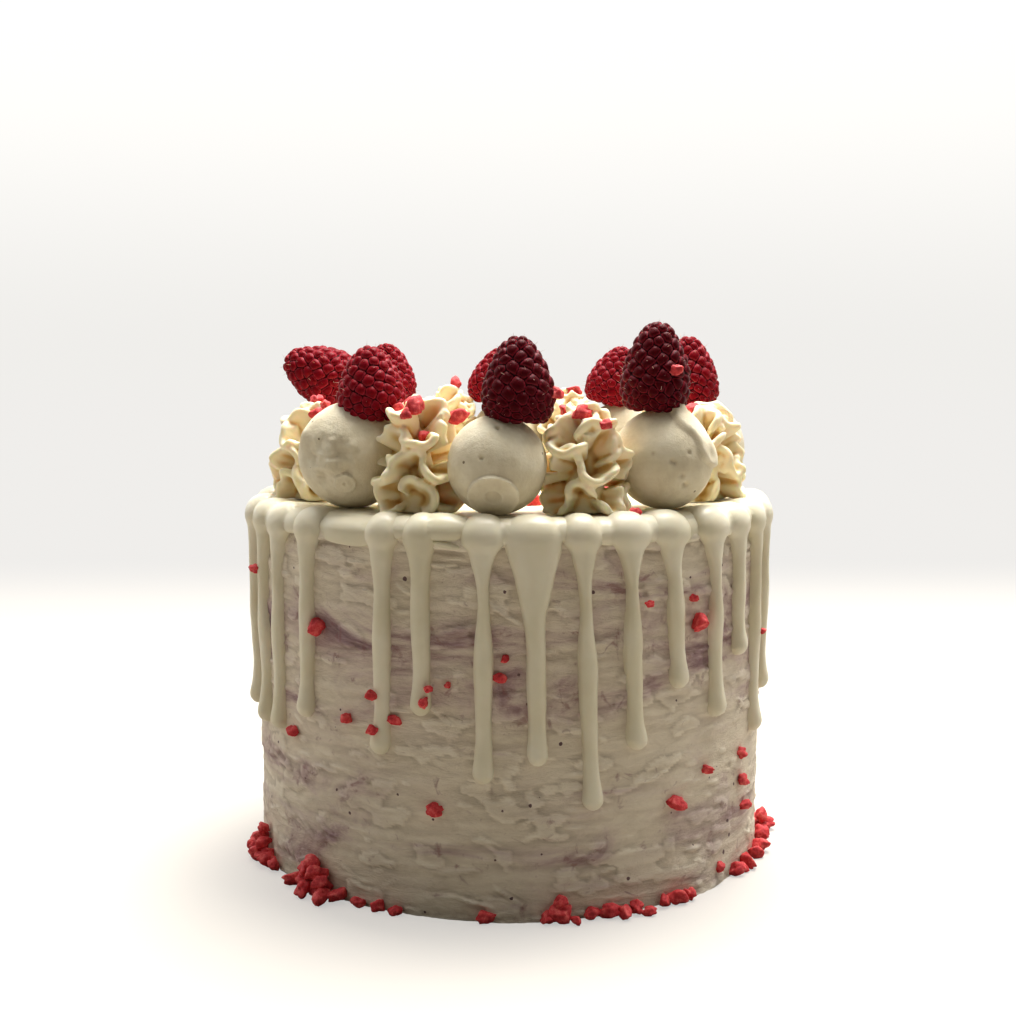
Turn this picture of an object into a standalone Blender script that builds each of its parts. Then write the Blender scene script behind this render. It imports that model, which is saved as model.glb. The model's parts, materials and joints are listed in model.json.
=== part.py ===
"""White chocolate drip cake, 6 inches across.

A tall buttercream cake carries a poured white chocolate layer that runs down its side in drips.
On top stand eight meringue balls and eight piped rosettes in turn, and on each ball a raspberry.

Units are metres and +Z is up. The origin is the middle of the flat base, and the front faces -Y.
An angle on the cake is in degrees from the front, growing towards +X.
"""

import math
import random

import bmesh
import bpy
from mathutils import Matrix, Vector

# Driving dimensions
CAKE_RADIUS = 0.0775
CAKE_HEIGHT = 0.1057
EDGE_ROUNDING = 0.0030
POOL_THICKNESS = 0.0020
POOL_RADIUS = 0.0762
GAP = 0.0003
MERGE = 0.00001

SIDE_CLEARANCE = 0.0006
RIM_CLEARANCE = 0.0010
DRIP_WIDTH = 0.0052
DRIP_PROUD = 0.0030
DRIP_START = 0.0660
SHORT_TAPER = 0.011
LONG_RUN = 0.026

ROSETTE_RING = 0.0610
ROSETTE_RADIUS = 0.0122
ROSETTE_RIDGES = 8
ROSETTE_TIERS = 3
BALL_SETTLE = 0.0005
DRUPELET_RELIEF = 0.0005

# Heights of the rings down the cake's side
SIDE_HEIGHTS = [0.0985, 0.0815, 0.0640, 0.0460, 0.0280, 0.0110]

# Facets
CAKE_STEPS = 50
POOL_STEPS = 40
DRIP_SIDES = 5
BALL_SIDES, BALL_RINGS = 12, 8
ROSETTE_RINGS = 9
BERRY_SIDES, BERRY_RINGS = 12, 9

# The level that the toppings stand on
SEAT = CAKE_HEIGHT + POOL_THICKNESS + GAP

# The drips at the front: angle at the rim, angle at the tip, height of the tip, width of the lobe, taper
FRONT_DRIPS = [
    (-77.0, -77.5, 0.0447, 0.0112, SHORT_TAPER),
    (-65.2, -65.6, 0.0428, 0.0108, SHORT_TAPER),
    (-55.9, -57.7, 0.0432, 0.0116, SHORT_TAPER),
    (-44.8, -46.2, 0.0497, 0.0112, SHORT_TAPER),
    (-25.6, -25.9, 0.0437, 0.0112, SHORT_TAPER),
    (-17.6, -17.3, 0.0553, 0.0130, 0.013),
    (-5.1, -5.0, 0.0377, 0.0122, SHORT_TAPER),
    (5.2, 5.5, 0.0425, 0.0150, 0.024),
    (15.3, 16.5, 0.0297, 0.0126, SHORT_TAPER),
    (24.9, 25.8, 0.0449, 0.0126, SHORT_TAPER),
    (34.3, 36.1, 0.0601, 0.0130, SHORT_TAPER),
    (45.2, 47.8, 0.0495, 0.0130, SHORT_TAPER),
    (54.7, 56.6, 0.0650, 0.0124, SHORT_TAPER),
    (65.1, 67.0, 0.0396, 0.0124, SHORT_TAPER),
    (77.0, 77.3, 0.0494, 0.0124, SHORT_TAPER),
    (88.0, 88.0, 0.0898, 0.0124, SHORT_TAPER),
]
BACK_DRIPS = 13
BACK_FROM, BACK_TO = 98.0, 272.0
BACK_TIPS = [0.032, 0.040, 0.044, 0.048, 0.055, 0.064]

# The balls, with the berry on each.
# Angle, ring and radius of the ball; then foot, axis, width and height of the berry
TOPPINGS = [
    (-3.0, 0.0630, 0.0134, (0.0023, -0.0629, 0.1324), (0.00, 0.02, 1.0), 0.0198, 0.0228),
    (42.0, 0.0640, 0.0142, (0.0400, -0.0476, 0.1350), (0.05, 0.00, 1.0), 0.0194, 0.0244),
    (97.0, 0.0610, 0.0138, (0.0570, 0.0070, 0.1342), (-0.04, 0.05, 1.0), 0.0185, 0.0220),
    (141.0, 0.0620, 0.0135, (0.0335, 0.0475, 0.1336), (0.34, 0.05, 1.0), 0.0185, 0.0205),
    (180.0, 0.0620, 0.0135, (-0.0068, 0.0615, 0.1332), (0.28, 0.00, 1.0), 0.0188, 0.0206),
    (-139.0, 0.0620, 0.0135, (-0.0405, 0.0460, 0.1336), (-0.08, 0.00, 1.0), 0.0182, 0.0208),
    (-98.0, 0.0600, 0.0135, (-0.0690, 0.0080, 0.1412), (0.93, 0.10, 0.34), 0.0192, 0.0215),
    (-45.0, 0.0625, 0.0150, (-0.0379, -0.0465, 0.1322), (-0.06, 0.02, 1.0), 0.0191, 0.0205),
]
ROSETTE_ANGLES = [19.5, 69.5, 118.5, 160.5, 200.5, 241.5, 288.5, 335.8]
ROSETTE_HEIGHTS = [0.0305, 0.0290, 0.0300, 0.0320, 0.0340, 0.0310, 0.0285, 0.0335]

# Freeze-dried raspberry crumbs on the side, between the drips: angle, height, size
SIDE_CRUMBS = [
    (-51.8, 0.0441, 0.0034), (-40.6, 0.0761, 0.0042), (-34.1, 0.0523, 0.0035), (-21.9, 0.0535, 0.0028),
    (-14.6, 0.0301, 0.0040), (-1.3, 0.0662, 0.0029), (40.6, 0.0776, 0.0050), (45.2, 0.0350, 0.0027),
    (36.2, 0.0280, 0.0042), (59.4, 0.0356, 0.0033), (59.7, 0.0274, 0.0037), (61.9, 0.0188, 0.0035),
    (131.0, 0.0300, 0.0036), (168.0, 0.0240, 0.0030), (203.0, 0.0320, 0.0040), (247.0, 0.0260, 0.0034),
]
# Crumbs on the chocolate: angle, height, size
DRIP_CRUMBS = [
    (-65.6, 0.0885, 0.0028), (-26.6, 0.0600, 0.0030), (-26.4, 0.0510, 0.0026),
    (-17.0, 0.0600, 0.0032), (67.0, 0.0696, 0.0020),
]
# Crumbs on the pool: angle, ring, size
POOL_CRUMBS = [
    (27.0, 0.0735, 0.0030), (10.0, 0.0400, 0.0044), (75.0, 0.0300, 0.0040), (150.0, 0.0380, 0.0036),
    (215.0, 0.0260, 0.0042), (290.0, 0.0360, 0.0038), (330.0, 0.0420, 0.0034),
]
# Crumbs in a rosette: share of its height, turn about it in radians
CRUMBS_IN_ROSETTE = [(0.84, 0.0), (0.66, 2.4)]
# Heaps at the foot: angle of the middle, half spread in degrees, how many, size of a crumb, how far out
FOOT_HEAPS = [
    (-67.0, 6.0, 4, 0.0048, 0.0055), (-41.5, 5.5, 4, 0.0052, 0.0075), (-27.0, 3.0, 1, 0.0034, 0.0012),
    (-5.0, 0.5, 1, 0.0046, 0.0010), (10.5, 2.0, 2, 0.0044, 0.0020), (22.0, 5.0, 3, 0.0040, 0.0034),
    (36.0, 3.5, 2, 0.0040, 0.0012), (60.0, 5.0, 2, 0.0044, 0.0012), (84.0, 5.0, 2, 0.0050, 0.0040),
    (125.0, 8.0, 2, 0.0044, 0.0012), (187.0, 10.0, 2, 0.0042, 0.0012), (243.0, 8.0, 2, 0.0046, 0.0034),
]


def clear_scene():
    for item in list(bpy.data.objects):
        bpy.data.objects.remove(item)


def new_collection(name):
    collection = bpy.data.collections.new(name)
    bpy.context.scene.collection.children.link(collection)
    return collection


def to_linear(hex_colour):
    """The linear colour of an sRGB hex value such as F3ECDB."""
    channels = [int(hex_colour[i : i + 2], 16) / 255 for i in (0, 2, 4)]
    return [c / 12.92 if c <= 0.04045 else ((c + 0.055) / 1.055) ** 2.4 for c in channels]


def food_material(name, hex_colour, roughness, subsurface):
    material = bpy.data.materials.new(name)
    material.use_nodes = True
    shader = material.node_tree.nodes["Principled BSDF"]
    shader.inputs["Base Color"].default_value = (*to_linear(hex_colour), 1.0)
    shader.inputs["Roughness"].default_value = roughness
    shader.inputs["Metallic"].default_value = 0.0
    shader.inputs["Subsurface Weight"].default_value = subsurface
    return material


def on_ring(angle, radius, z=0.0):
    """The point at an angle of the cake, a radius from its axis and a height."""
    turn = math.radians(angle)
    return Vector((radius * math.sin(turn), -radius * math.cos(turn), z))


def add_object(name, bm, collection, material=None):
    """Writes a bmesh into a new object of the collection, with its faces pointing out."""
    if bm.calc_volume(signed=True) < 0.0:
        bmesh.ops.reverse_faces(bm, faces=bm.faces)
    mesh = bpy.data.meshes.new(name)
    bm.to_mesh(mesh)
    bm.free()
    body = bpy.data.objects.new(name, mesh)
    collection.objects.link(body)
    if material:
        mesh.materials.append(material)
    return body


def smooth(body, sharp_angle):
    body.data.shade_smooth()
    body.data.set_sharp_from_angle(angle=math.radians(sharp_angle))


def bake(body):
    """Turns what the modifiers make into the object's own mesh."""
    bpy.context.view_layer.update()
    evaluated = body.evaluated_get(bpy.context.evaluated_depsgraph_get())
    body.data = bpy.data.meshes.new_from_object(evaluated)
    body.data.name = body.name
    body.modifiers.clear()


def add_boolean(body, title, operation, tool, solver="EXACT"):
    """Adds a Boolean whose tool is an object or a collection of objects."""
    boolean = body.modifiers.new(title, "BOOLEAN")
    boolean.operation = operation
    boolean.solver = solver
    if isinstance(tool, bpy.types.Collection):
        boolean.operand_type = "COLLECTION"
        boolean.collection = tool
    else:
        boolean.object = tool
    return boolean


def fuse(body, pieces):
    """Joins the collection's pieces to the body and removes them."""
    add_boolean(body, "Join", "UNION", pieces, solver="MANIFOLD")
    bake(body)
    for piece in list(pieces.objects):
        bpy.data.objects.remove(piece)
    bpy.data.collections.remove(pieces)


def as_cutter(body):
    body.hide_render = True
    body.display_type = "WIRE"
    return body


def shaped_sphere(sides, rings, place):
    """A UV sphere whose vertices move to place(ring, side), from one pole, ring 0, to the other."""
    bm = bmesh.new()
    bmesh.ops.create_uvsphere(bm, u_segments=sides, v_segments=rings, radius=1.0)
    for vertex in bm.verts:
        ring = round(math.acos(max(-1.0, min(1.0, vertex.co.z))) * rings / math.pi)
        side = round(math.atan2(vertex.co.y, vertex.co.x) * sides / math.tau) % sides
        vertex.co = place(ring, side)
    return bm


def turned(name, outline, steps, collection):
    """A body of revolution about Z: the outline starts at the top of the axis and runs down the outside."""
    mesh = bpy.data.meshes.new(name)
    edges = [(i, i + 1) for i in range(len(outline) - 1)]
    mesh.from_pydata([(radius, 0.0, z) for radius, z in outline], edges, [])
    body = bpy.data.objects.new(name, mesh)
    collection.objects.link(body)
    screw = body.modifiers.new("Turn", "SCREW")
    screw.steps = steps
    screw.render_steps = steps
    screw.use_merge_vertices = True
    screw.merge_threshold = MERGE
    bake(body)
    return body


def wave(angle, *terms):
    """A sum of sines round the cake: each term is its size, its count round the cake and its shift."""
    turn = math.radians(angle)
    return sum(size * math.sin(count * turn + shift) for size, count, shift in terms)


def knife_relief(angle, z):
    """How far the palette knife left the buttercream proud at an angle and a height."""
    up = z / CAKE_HEIGHT
    slow = wave(angle, (0.00024, 3, 1.0 + 5.0 * up), (0.00020, 7, 2.0 - 7.0 * up))
    strokes = 0.00012 * math.sin(22.0 * up + wave(angle, (2.2, 2, 0.4), (1.3, 5, 1.9)))
    return (slow + strokes) * min(1.0, 6.0 * (1.0 - up) + 0.1)


def foot_relief(angle):
    """The ragged foot, where the buttercream spreads on the surface below."""
    return max(0.0, wave(angle, (0.0005, 9, 0.7), (0.0004, 16, 2.1)))


def lip_relief(angle):
    """The thin uneven lip of buttercream under the edge of the chocolate."""
    return 0.0001 + max(0.0, wave(angle, (0.0002, 8, 2.6), (0.0001, 17, 0.2)))


def cake_body(name, collection):
    """The iced cake: a turned body with the strokes of the palette knife in its side."""
    shoulder = CAKE_HEIGHT - EDGE_ROUNDING
    outline = [(0.0, CAKE_HEIGHT)]
    for degrees in (90, 45, 0):
        turn = math.radians(degrees)
        inset = EDGE_ROUNDING * (1.0 - math.cos(turn))
        outline.append((CAKE_RADIUS - inset, shoulder + EDGE_ROUNDING * math.sin(turn)))
    outline += [(CAKE_RADIUS, z) for z in SIDE_HEIGHTS]
    outline += [(CAKE_RADIUS, 0.0), (0.0, 0.0)]
    body = turned(name, outline, CAKE_STEPS, collection)
    for vertex in body.data.vertices:
        x, y, z = vertex.co
        radius = math.hypot(x, y)
        if radius < CAKE_RADIUS / 2 or z > shoulder + MERGE:
            continue
        angle = math.degrees(math.atan2(x, -y))
        relief = knife_relief(angle, z)
        if z < MERGE:
            relief += foot_relief(angle)
        if z > shoulder - MERGE:
            relief += lip_relief(angle)
        vertex.co.xy *= (radius + relief) / radius
    return body


def drip_route(s):
    """The point of the cake's surface s along a drip, and the way out of it: radius, z, out, up."""
    shoulder_radius = CAKE_RADIUS - EDGE_ROUNDING
    on_top = shoulder_radius - DRIP_START
    round_edge = EDGE_ROUNDING * math.pi / 2
    if s < on_top:
        return DRIP_START + s, CAKE_HEIGHT, 0.0, 1.0
    if s < on_top + round_edge:
        a = (s - on_top) / EDGE_ROUNDING
        out, up = math.sin(a), math.cos(a)
        centre_z = CAKE_HEIGHT - EDGE_ROUNDING
        return shoulder_radius + EDGE_ROUNDING * out, centre_z + EDGE_ROUNDING * up, out, up
    return CAKE_RADIUS, CAKE_HEIGHT - EDGE_ROUNDING - (s - on_top - round_edge), 1.0, 0.0


def drip_back(s, angle, z):
    """How far out the back of a drip lies: inside the pool on top, then just clear of the icing."""
    over = CAKE_RADIUS - EDGE_ROUNDING - DRIP_START + EDGE_ROUNDING * math.pi / 2
    if s < over + 0.0045:
        return RIM_CLEARANCE
    return knife_relief(angle, z) + SIDE_CLEARANCE


def drip_stations(tip_height, lobe, taper):
    """Where a drip's rings lie and how big they are there: distance, width, height proud of the cake."""
    on_top = CAKE_RADIUS - EDGE_ROUNDING - DRIP_START
    over = on_top + EDGE_ROUNDING * math.pi / 2
    end = over + CAKE_HEIGHT - EDGE_ROUNDING - tip_height
    neck, waist = over + taper, end - 0.0068
    middle = (lobe + DRIP_WIDTH) / 2
    stations = [
        (0.0, 0.0, 0.0014),
        (on_top - 0.001, 0.86 * lobe, 0.0024),
        (on_top + 0.0028, lobe, 0.0034),
        (over + 0.0015, 0.96 * lobe, 0.0035),
        (over + 0.45 * taper, middle, 0.0032),
        (neck, 1.05 * DRIP_WIDTH, DRIP_PROUD),
    ]
    if waist - neck > LONG_RUN:
        stations.append(((neck + waist) / 2, DRIP_WIDTH, DRIP_PROUD))
    if waist - neck > 0.002:
        stations.append((waist, 0.90 * DRIP_WIDTH, 0.94 * DRIP_PROUD))
    stations += [
        (end - 0.0034, 1.18 * DRIP_WIDTH, 1.32 * DRIP_PROUD),
        (end - 0.0010, 0.74 * DRIP_WIDTH, 0.95 * DRIP_PROUD),
        (end, 0.0, 0.0018),
    ]
    return stations


def drip(name, rim_angle, tip_angle, tip_height, lobe, taper, collection):
    """One drip: a sphere drawn out from the pool over the rim and down the side to a rounded tip."""
    stations = drip_stations(tip_height, lobe, taper)
    length = stations[-1][0]

    def place(ring, side):
        s, width, proud = stations[ring]
        radius, z, out, up = drip_route(s)
        turn = math.pi * side / (DRIP_SIDES - 1)
        angle = rim_angle + (tip_angle - rim_angle) * s / length
        angle += math.degrees(0.5 * width * math.cos(turn) / CAKE_RADIUS)
        depth = drip_back(s, angle, z)
        depth += (0.5 if width == 0.0 else math.sin(turn)) * max(0.0, proud - depth)
        return on_ring(angle, radius + depth * out, z + depth * up)

    return add_object(name, shaped_sphere(DRIP_SIDES, len(stations) - 1, place), collection)


def back_drips(draw):
    """The drips that the front view hides, spread and sized like those at the front."""
    rows = []
    step = (BACK_TO - BACK_FROM) / BACK_DRIPS
    for i in range(BACK_DRIPS):
        angle = BACK_FROM + (i + 0.5) * step + draw.uniform(-2.2, 2.2)
        lean = draw.uniform(-1.6, 1.6)
        tip = draw.choice(BACK_TIPS) + draw.uniform(-0.003, 0.003)
        rows.append((angle, angle + lean, tip, draw.uniform(0.0112, 0.0140), SHORT_TAPER))
    return rows


def pool(name, collection):
    """The poured layer on top, with a wavy edge just inside the rim."""
    top = CAKE_HEIGHT + POOL_THICKNESS
    outline = [
        (0.0, top),
        (POOL_RADIUS - 0.0040, top),
        (POOL_RADIUS - 0.0008, top - 0.0006),
        (POOL_RADIUS, top - 0.0013),
        (POOL_RADIUS - 0.0012, CAKE_HEIGHT + GAP),
        (0.0, CAKE_HEIGHT + GAP),
    ]
    body = turned(name, outline, POOL_STEPS, collection)
    for vertex in body.data.vertices:
        x, y = vertex.co.xy
        radius = math.hypot(x, y)
        if radius > CAKE_RADIUS / 2:
            relief = wave(math.degrees(math.atan2(x, -y)), (0.0004, 11, 0.3), (0.0003, 17, 1.8))
            vertex.co.xy *= (radius + relief) / radius
    return body


def crumb(collection, place, size, draw):
    """A rough freeze-dried crumb: an icosphere with its corners pushed in and out."""
    bm = bmesh.new()
    bmesh.ops.create_icosphere(bm, subdivisions=1, radius=size / 2)
    for vertex in bm.verts:
        vertex.co *= draw.uniform(0.78, 1.18)
    stretch = Matrix.Diagonal((1.0, draw.uniform(0.75, 1.0), draw.uniform(0.7, 0.95), 1.0))
    spin = Matrix.Rotation(draw.uniform(0.0, math.tau), 4, "Z")
    tip = Matrix.Rotation(draw.uniform(0.0, math.pi), 4, "X")
    bmesh.ops.transform(bm, matrix=Matrix.Translation(place) @ spin @ tip @ stretch, verts=bm.verts)
    return add_object("crumb", bm, collection)


def foot_heap(collection, middle, spread, count, size, reach, draw):
    """Crumbs heaped against the foot of the cake, each one set into the cake or into the one before."""
    for i in range(count):
        share = (i + 0.5) / count
        angle = middle + spread * (2.0 * share - 1.0)
        near = size * draw.uniform(0.85, 1.1)
        radius = CAKE_RADIUS + 0.12 * near
        height = 0.60 * near + GAP
        crumb(collection, on_ring(angle, radius, height), near, draw)
        if reach > 0.0028 and i % 2 == 0:
            out = radius + min(reach, 0.55 * near)
            far = 0.82 * near
            drift = draw.uniform(-0.8, 0.8)
            crumb(collection, on_ring(angle + drift, out, 0.60 * far + GAP), far, draw)
        if reach > 0.005 and i % 2 == 1:
            crumb(collection, on_ring(angle, radius, height + 0.62 * near), 0.9 * near, draw)


def ball(name, collection, toppings_row, phase, material=None, grow=0.0):
    """A meringue ball with slow dents and a small flat spot that it stands on."""
    angle, ring_radius, radius = toppings_row[:3]
    centre = on_ring(angle, ring_radius, SEAT + radius - BALL_SETTLE)

    def place(ring, side):
        tilt, turn = math.pi * ring / BALL_RINGS, math.tau * side / BALL_SIDES
        out = Vector((math.sin(tilt) * math.cos(turn), math.sin(tilt) * math.sin(turn), math.cos(tilt)))
        dent = 0.00022 * math.sin(3.0 * out.x + 2.0 * out.z + phase) * math.sin(4.0 * out.y + 1.7 * phase)
        point = centre + out * (radius + dent + grow)
        if point.z < SEAT + 2.0 * BALL_SETTLE and ring > BALL_RINGS - 2:
            point.z = SEAT - grow
        return point

    return add_object(name, shaped_sphere(BALL_SIDES, BALL_RINGS, place), collection, material)


def berry(name, collection, toppings_row, material=None, grow=0.0):
    """A raspberry on its ball: bumps for drupelets, and a hollow where it came off its core.

    With grow it is the smooth solid that keeps its neighbours clear of it.
    """
    foot, axis, width, height = toppings_row[3:]
    frame = Vector(axis).to_track_quat("Z", "Y").to_matrix().to_4x4()
    frame = Matrix.Translation(foot) @ frame
    rim_ring = BERRY_RINGS - 2
    rim_tilt = math.radians(128)

    def place(ring, side):
        turn = math.tau * side / BERRY_SIDES
        tilt = rim_tilt * min(ring, rim_ring) / rim_ring
        z = height * (math.cos(tilt) - math.cos(rim_tilt)) / (1.0 - math.cos(rim_tilt))
        radius = 0.5 * width * math.sin(tilt) ** 0.82
        bump = DRUPELET_RELIEF * math.sqrt(math.sin(tilt))
        if grow:
            radius += bump + grow
            z += grow * math.cos(tilt)
        elif 0 < ring < rim_ring:
            radius += bump if (ring + side) % 2 else -bump
        if ring > rim_ring:
            radius *= 0.62 if ring == rim_ring + 1 else 0.0
            z = -grow if grow else 0.0012 + 0.0020 * (ring - rim_ring)
        return frame @ Vector((radius * math.cos(turn), radius * math.sin(turn), z))

    return add_object(name, shaped_sphere(BERRY_SIDES, BERRY_RINGS, place), collection, material)


def rosette_radius(up):
    """Half the width of a rosette at a share of its height: full most of the way, rounded at the top."""
    return ROSETTE_RADIUS * (1.0 - up**3.2) ** 0.6 * (0.88 + 0.12 * math.sin(math.pi * min(0.5, 2.5 * up)))


def rosette(name, collection, angle, height, phase, material):
    """A piped rosette: ridges that wind up round it, in tiers one above the other."""
    centre = on_ring(angle, ROSETTE_RING, SEAT)
    sides = 2 * ROSETTE_RIDGES

    def place(ring, side):
        if ring == ROSETTE_RINGS:
            return centre.copy()
        up = 1.0 - ring / (ROSETTE_RINGS - 1)
        turn = math.tau * side / sides + 1.5 * up + phase
        radius = rosette_radius(up)
        tier = math.cos(math.tau * ROSETTE_TIERS * up - turn)
        ridge = 1.0 if side % 2 else -1.0
        radius *= 1.0 + 0.09 * ridge + 0.10 * tier * math.sin(math.pi * up)
        lift = 0.0008 * ridge * math.sin(math.pi * up)
        return centre + Vector((radius * math.cos(turn), radius * math.sin(turn), height * up + lift))

    return add_object(name, shaped_sphere(sides, ROSETTE_RINGS, place), collection, material)


def crumbs_on_rosette(collection, angle, height, phase, draw):
    """Crumbs caught in the upper folds of a rosette: two at the front of the cake, one behind."""
    centre = on_ring(angle, ROSETTE_RING, SEAT)
    front = math.cos(math.radians(angle)) > 0.0
    for up, turn in CRUMBS_IN_ROSETTE if front else CRUMBS_IN_ROSETTE[:1]:
        turn += phase
        reach = 0.86 * rosette_radius(up)
        place = centre + Vector((reach * math.cos(turn), reach * math.sin(turn), height * up))
        crumb(collection, place, 0.0042, draw)


def build():
    clear_scene()
    parts = new_collection("White_Chocolate_Cake")
    neighbours = new_collection("Clearances")
    buttercream = food_material("Buttercream", "EADFD3", 0.55, 0.1)
    chocolate = food_material("White_Chocolate", "F1EAD6", 0.30, 0.2)
    meringue = food_material("Meringue", "F0E9DB", 0.85, 0.1)
    piping = food_material("Piped_Buttercream", "F2E3BF", 0.50, 0.2)
    fruit = food_material("Raspberry", "9A1A2C", 0.42, 0.2)
    draw = random.Random(7)

    cake = cake_body("cake", parts)
    cake.data.materials.append(buttercream)
    bits = new_collection("Cake_Crumbs")
    for angle, z, size in SIDE_CRUMBS:
        place = on_ring(angle, CAKE_RADIUS + knife_relief(angle, z) + 0.18 * size, z)
        crumb(bits, place, size, draw)
    for heap in FOOT_HEAPS:
        foot_heap(bits, *heap, draw)
    fuse(cake, bits)
    smooth(cake, 40)

    icing = pool("white_chocolate_drip", parts)
    icing.data.materials.append(chocolate)
    runs = new_collection("Drips")
    for i, row in enumerate(FRONT_DRIPS + back_drips(draw)):
        drip(f"drip_{i}", *row, runs)
    pool_top = CAKE_HEIGHT + POOL_THICKNESS
    for angle, z, size in DRIP_CRUMBS:
        crumb(runs, on_ring(angle, CAKE_RADIUS + DRIP_PROUD + 0.1 * size, z), size, draw)
    for angle, ring_radius, size in POOL_CRUMBS:
        crumb(runs, on_ring(angle, ring_radius, pool_top + 0.2 * size), size, draw)
    fuse(icing, runs)
    smooth(icing, 50)

    for i, row in enumerate(TOPPINGS):
        number = i + 1
        body = ball(f"meringue_{number}", parts, row, 1.3 * i, meringue)
        as_cutter(ball(f"meringue_{number}_clearance", neighbours, row, 1.3 * i, grow=GAP))
        clearance = as_cutter(berry(f"raspberry_{number}_clearance", neighbours, row, grow=GAP))
        add_boolean(body, "Seat of the berry", "DIFFERENCE", clearance)
        smooth(body, 40)
        smooth(berry(f"raspberry_{number}", parts, row, fruit), 25)

    for i, (angle, height) in enumerate(zip(ROSETTE_ANGLES, ROSETTE_HEIGHTS)):
        phase = 0.7 * i
        body = rosette(f"rosette_{i + 1}", parts, angle, height, phase, piping)
        bits = new_collection("Rosette_Crumbs")
        crumbs_on_rosette(bits, angle, height, phase, draw)
        fuse(body, bits)
        add_boolean(body, "Room for the neighbours", "DIFFERENCE", neighbours)
        smooth(body, 60)


build()
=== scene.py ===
# %% [markdown]
# # A white chocolate drip cake
#
# The real cake is six inches across: a tall cylinder of buttercream, a poured layer of white
# chocolate that runs down its side in drips, and on top a ring of meringue balls and piped
# rosettes in turn, with a raspberry on each ball. The plain solids of the frame already have the
# right sizes and places. Each piece below takes the place of one of them, keeps its form, and
# adds what makes it food: knife strokes, folds, drupelets, crumbs and a finish.

# %% Load the frame
import json
import math
import random

import bpy
import numpy as np
from mathutils import Matrix, Vector, noise

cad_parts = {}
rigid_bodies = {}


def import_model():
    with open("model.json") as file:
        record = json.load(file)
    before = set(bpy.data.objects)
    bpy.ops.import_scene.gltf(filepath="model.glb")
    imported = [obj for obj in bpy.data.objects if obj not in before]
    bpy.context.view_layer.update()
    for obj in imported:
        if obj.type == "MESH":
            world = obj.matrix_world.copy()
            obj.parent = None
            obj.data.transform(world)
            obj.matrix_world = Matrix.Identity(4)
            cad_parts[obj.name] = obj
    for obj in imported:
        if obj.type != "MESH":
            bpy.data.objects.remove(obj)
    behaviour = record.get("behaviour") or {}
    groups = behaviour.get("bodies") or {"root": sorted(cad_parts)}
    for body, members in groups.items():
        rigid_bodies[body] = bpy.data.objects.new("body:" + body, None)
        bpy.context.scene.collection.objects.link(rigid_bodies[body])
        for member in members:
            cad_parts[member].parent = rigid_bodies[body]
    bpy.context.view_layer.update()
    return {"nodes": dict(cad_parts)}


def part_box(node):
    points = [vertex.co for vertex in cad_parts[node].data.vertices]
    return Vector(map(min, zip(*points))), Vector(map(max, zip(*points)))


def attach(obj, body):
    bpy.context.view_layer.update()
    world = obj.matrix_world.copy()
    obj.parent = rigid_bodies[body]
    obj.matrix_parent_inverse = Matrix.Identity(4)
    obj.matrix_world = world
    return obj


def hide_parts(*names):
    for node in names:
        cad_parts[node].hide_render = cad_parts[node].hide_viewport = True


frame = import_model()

# %% [markdown]
# ## Driving dimensions
#
# The cake stands on the origin and its front faces -Y. An angle on the cake is in degrees from the
# front and grows towards +X. The heights come from the frame, so a new pack needs no new numbers.
# There are eight balls, eight rosettes and eight berries, each numbered from 1 to 8.

# %% Sizes of the cake and of the chocolate
CAKE_RADIUS = 0.0775
CAKE_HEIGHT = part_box("cake")[1].z
EDGE_ROUNDING = 0.0030
POOL_TOP = CAKE_HEIGHT + 0.0020
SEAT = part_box("meringue_1")[0].z
DRIP_WIDTH = 0.0052
DRIP_PROUD = 0.0030
DRIP_START = 0.0660
MM = 0.001
TOPPINGS = range(1, 9)
print("cake", round(CAKE_HEIGHT, 4), "m high, toppings stand at", round(SEAT, 4))

# %% [markdown]
# ## Small helpers
#
# Blender's operators act on all that is selected, so everything is deselected before a primitive is
# added. Organic food needs thousands of points moved by one rule, which is quickest with the mesh's
# points read into an array, changed, and written back.

# %% Helpers that pick, read and write
def start_clean():
    """Leaves nothing selected and nothing active, so that an operator touches only the new piece."""
    bpy.ops.object.select_all(action="DESELECT")
    bpy.context.view_layer.objects.active = None


def pick(piece):
    start_clean()
    piece.select_set(True)
    bpy.context.view_layer.objects.active = piece


def new_object(name, data):
    piece = bpy.data.objects.new(name, data)
    bpy.context.scene.collection.objects.link(piece)
    return piece


def points_of(piece):
    points = np.empty(3 * len(piece.data.vertices))
    piece.data.vertices.foreach_get("co", points)
    return points.reshape(-1, 3)


def move_points(piece, points):
    piece.data.vertices.foreach_set("co", np.ascontiguousarray(points, dtype=np.float32).ravel())
    piece.data.update()


def settle(piece, name):
    """Puts the piece's place into its mesh, so that its object sits at the origin, and names it."""
    pick(piece)
    bpy.ops.object.transform_apply(location=True, rotation=True, scale=True)
    piece.name = name
    piece.data.name = name
    return piece


def edit_all(piece):
    """Goes to edit mode with every face of the piece selected."""
    pick(piece)
    bpy.ops.object.mode_set(mode="EDIT")
    bpy.ops.mesh.select_all(action="SELECT")


def apply_modifier(piece, kind, **settings):
    pick(piece)
    modifier = piece.modifiers.new(kind, kind)
    for name, value in settings.items():
        setattr(modifier, name, value)
    bpy.ops.object.modifier_apply(modifier=kind)


def turn_outwards(piece):
    """Flips the faces of a closed piece whose volume comes out negative."""
    points = points_of(piece)
    piece.data.calc_loop_triangles()
    corners = np.empty(3 * len(piece.data.loop_triangles), int)
    piece.data.loop_triangles.foreach_get("vertices", corners)
    a, b, c = (points[corners.reshape(-1, 3)[:, i]] for i in range(3))
    if np.einsum("ij,ij->i", a, np.cross(b, c)).sum() < 0.0:
        edit_all(piece)
        bpy.ops.mesh.flip_normals()
        bpy.ops.object.mode_set(mode="OBJECT")


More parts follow.
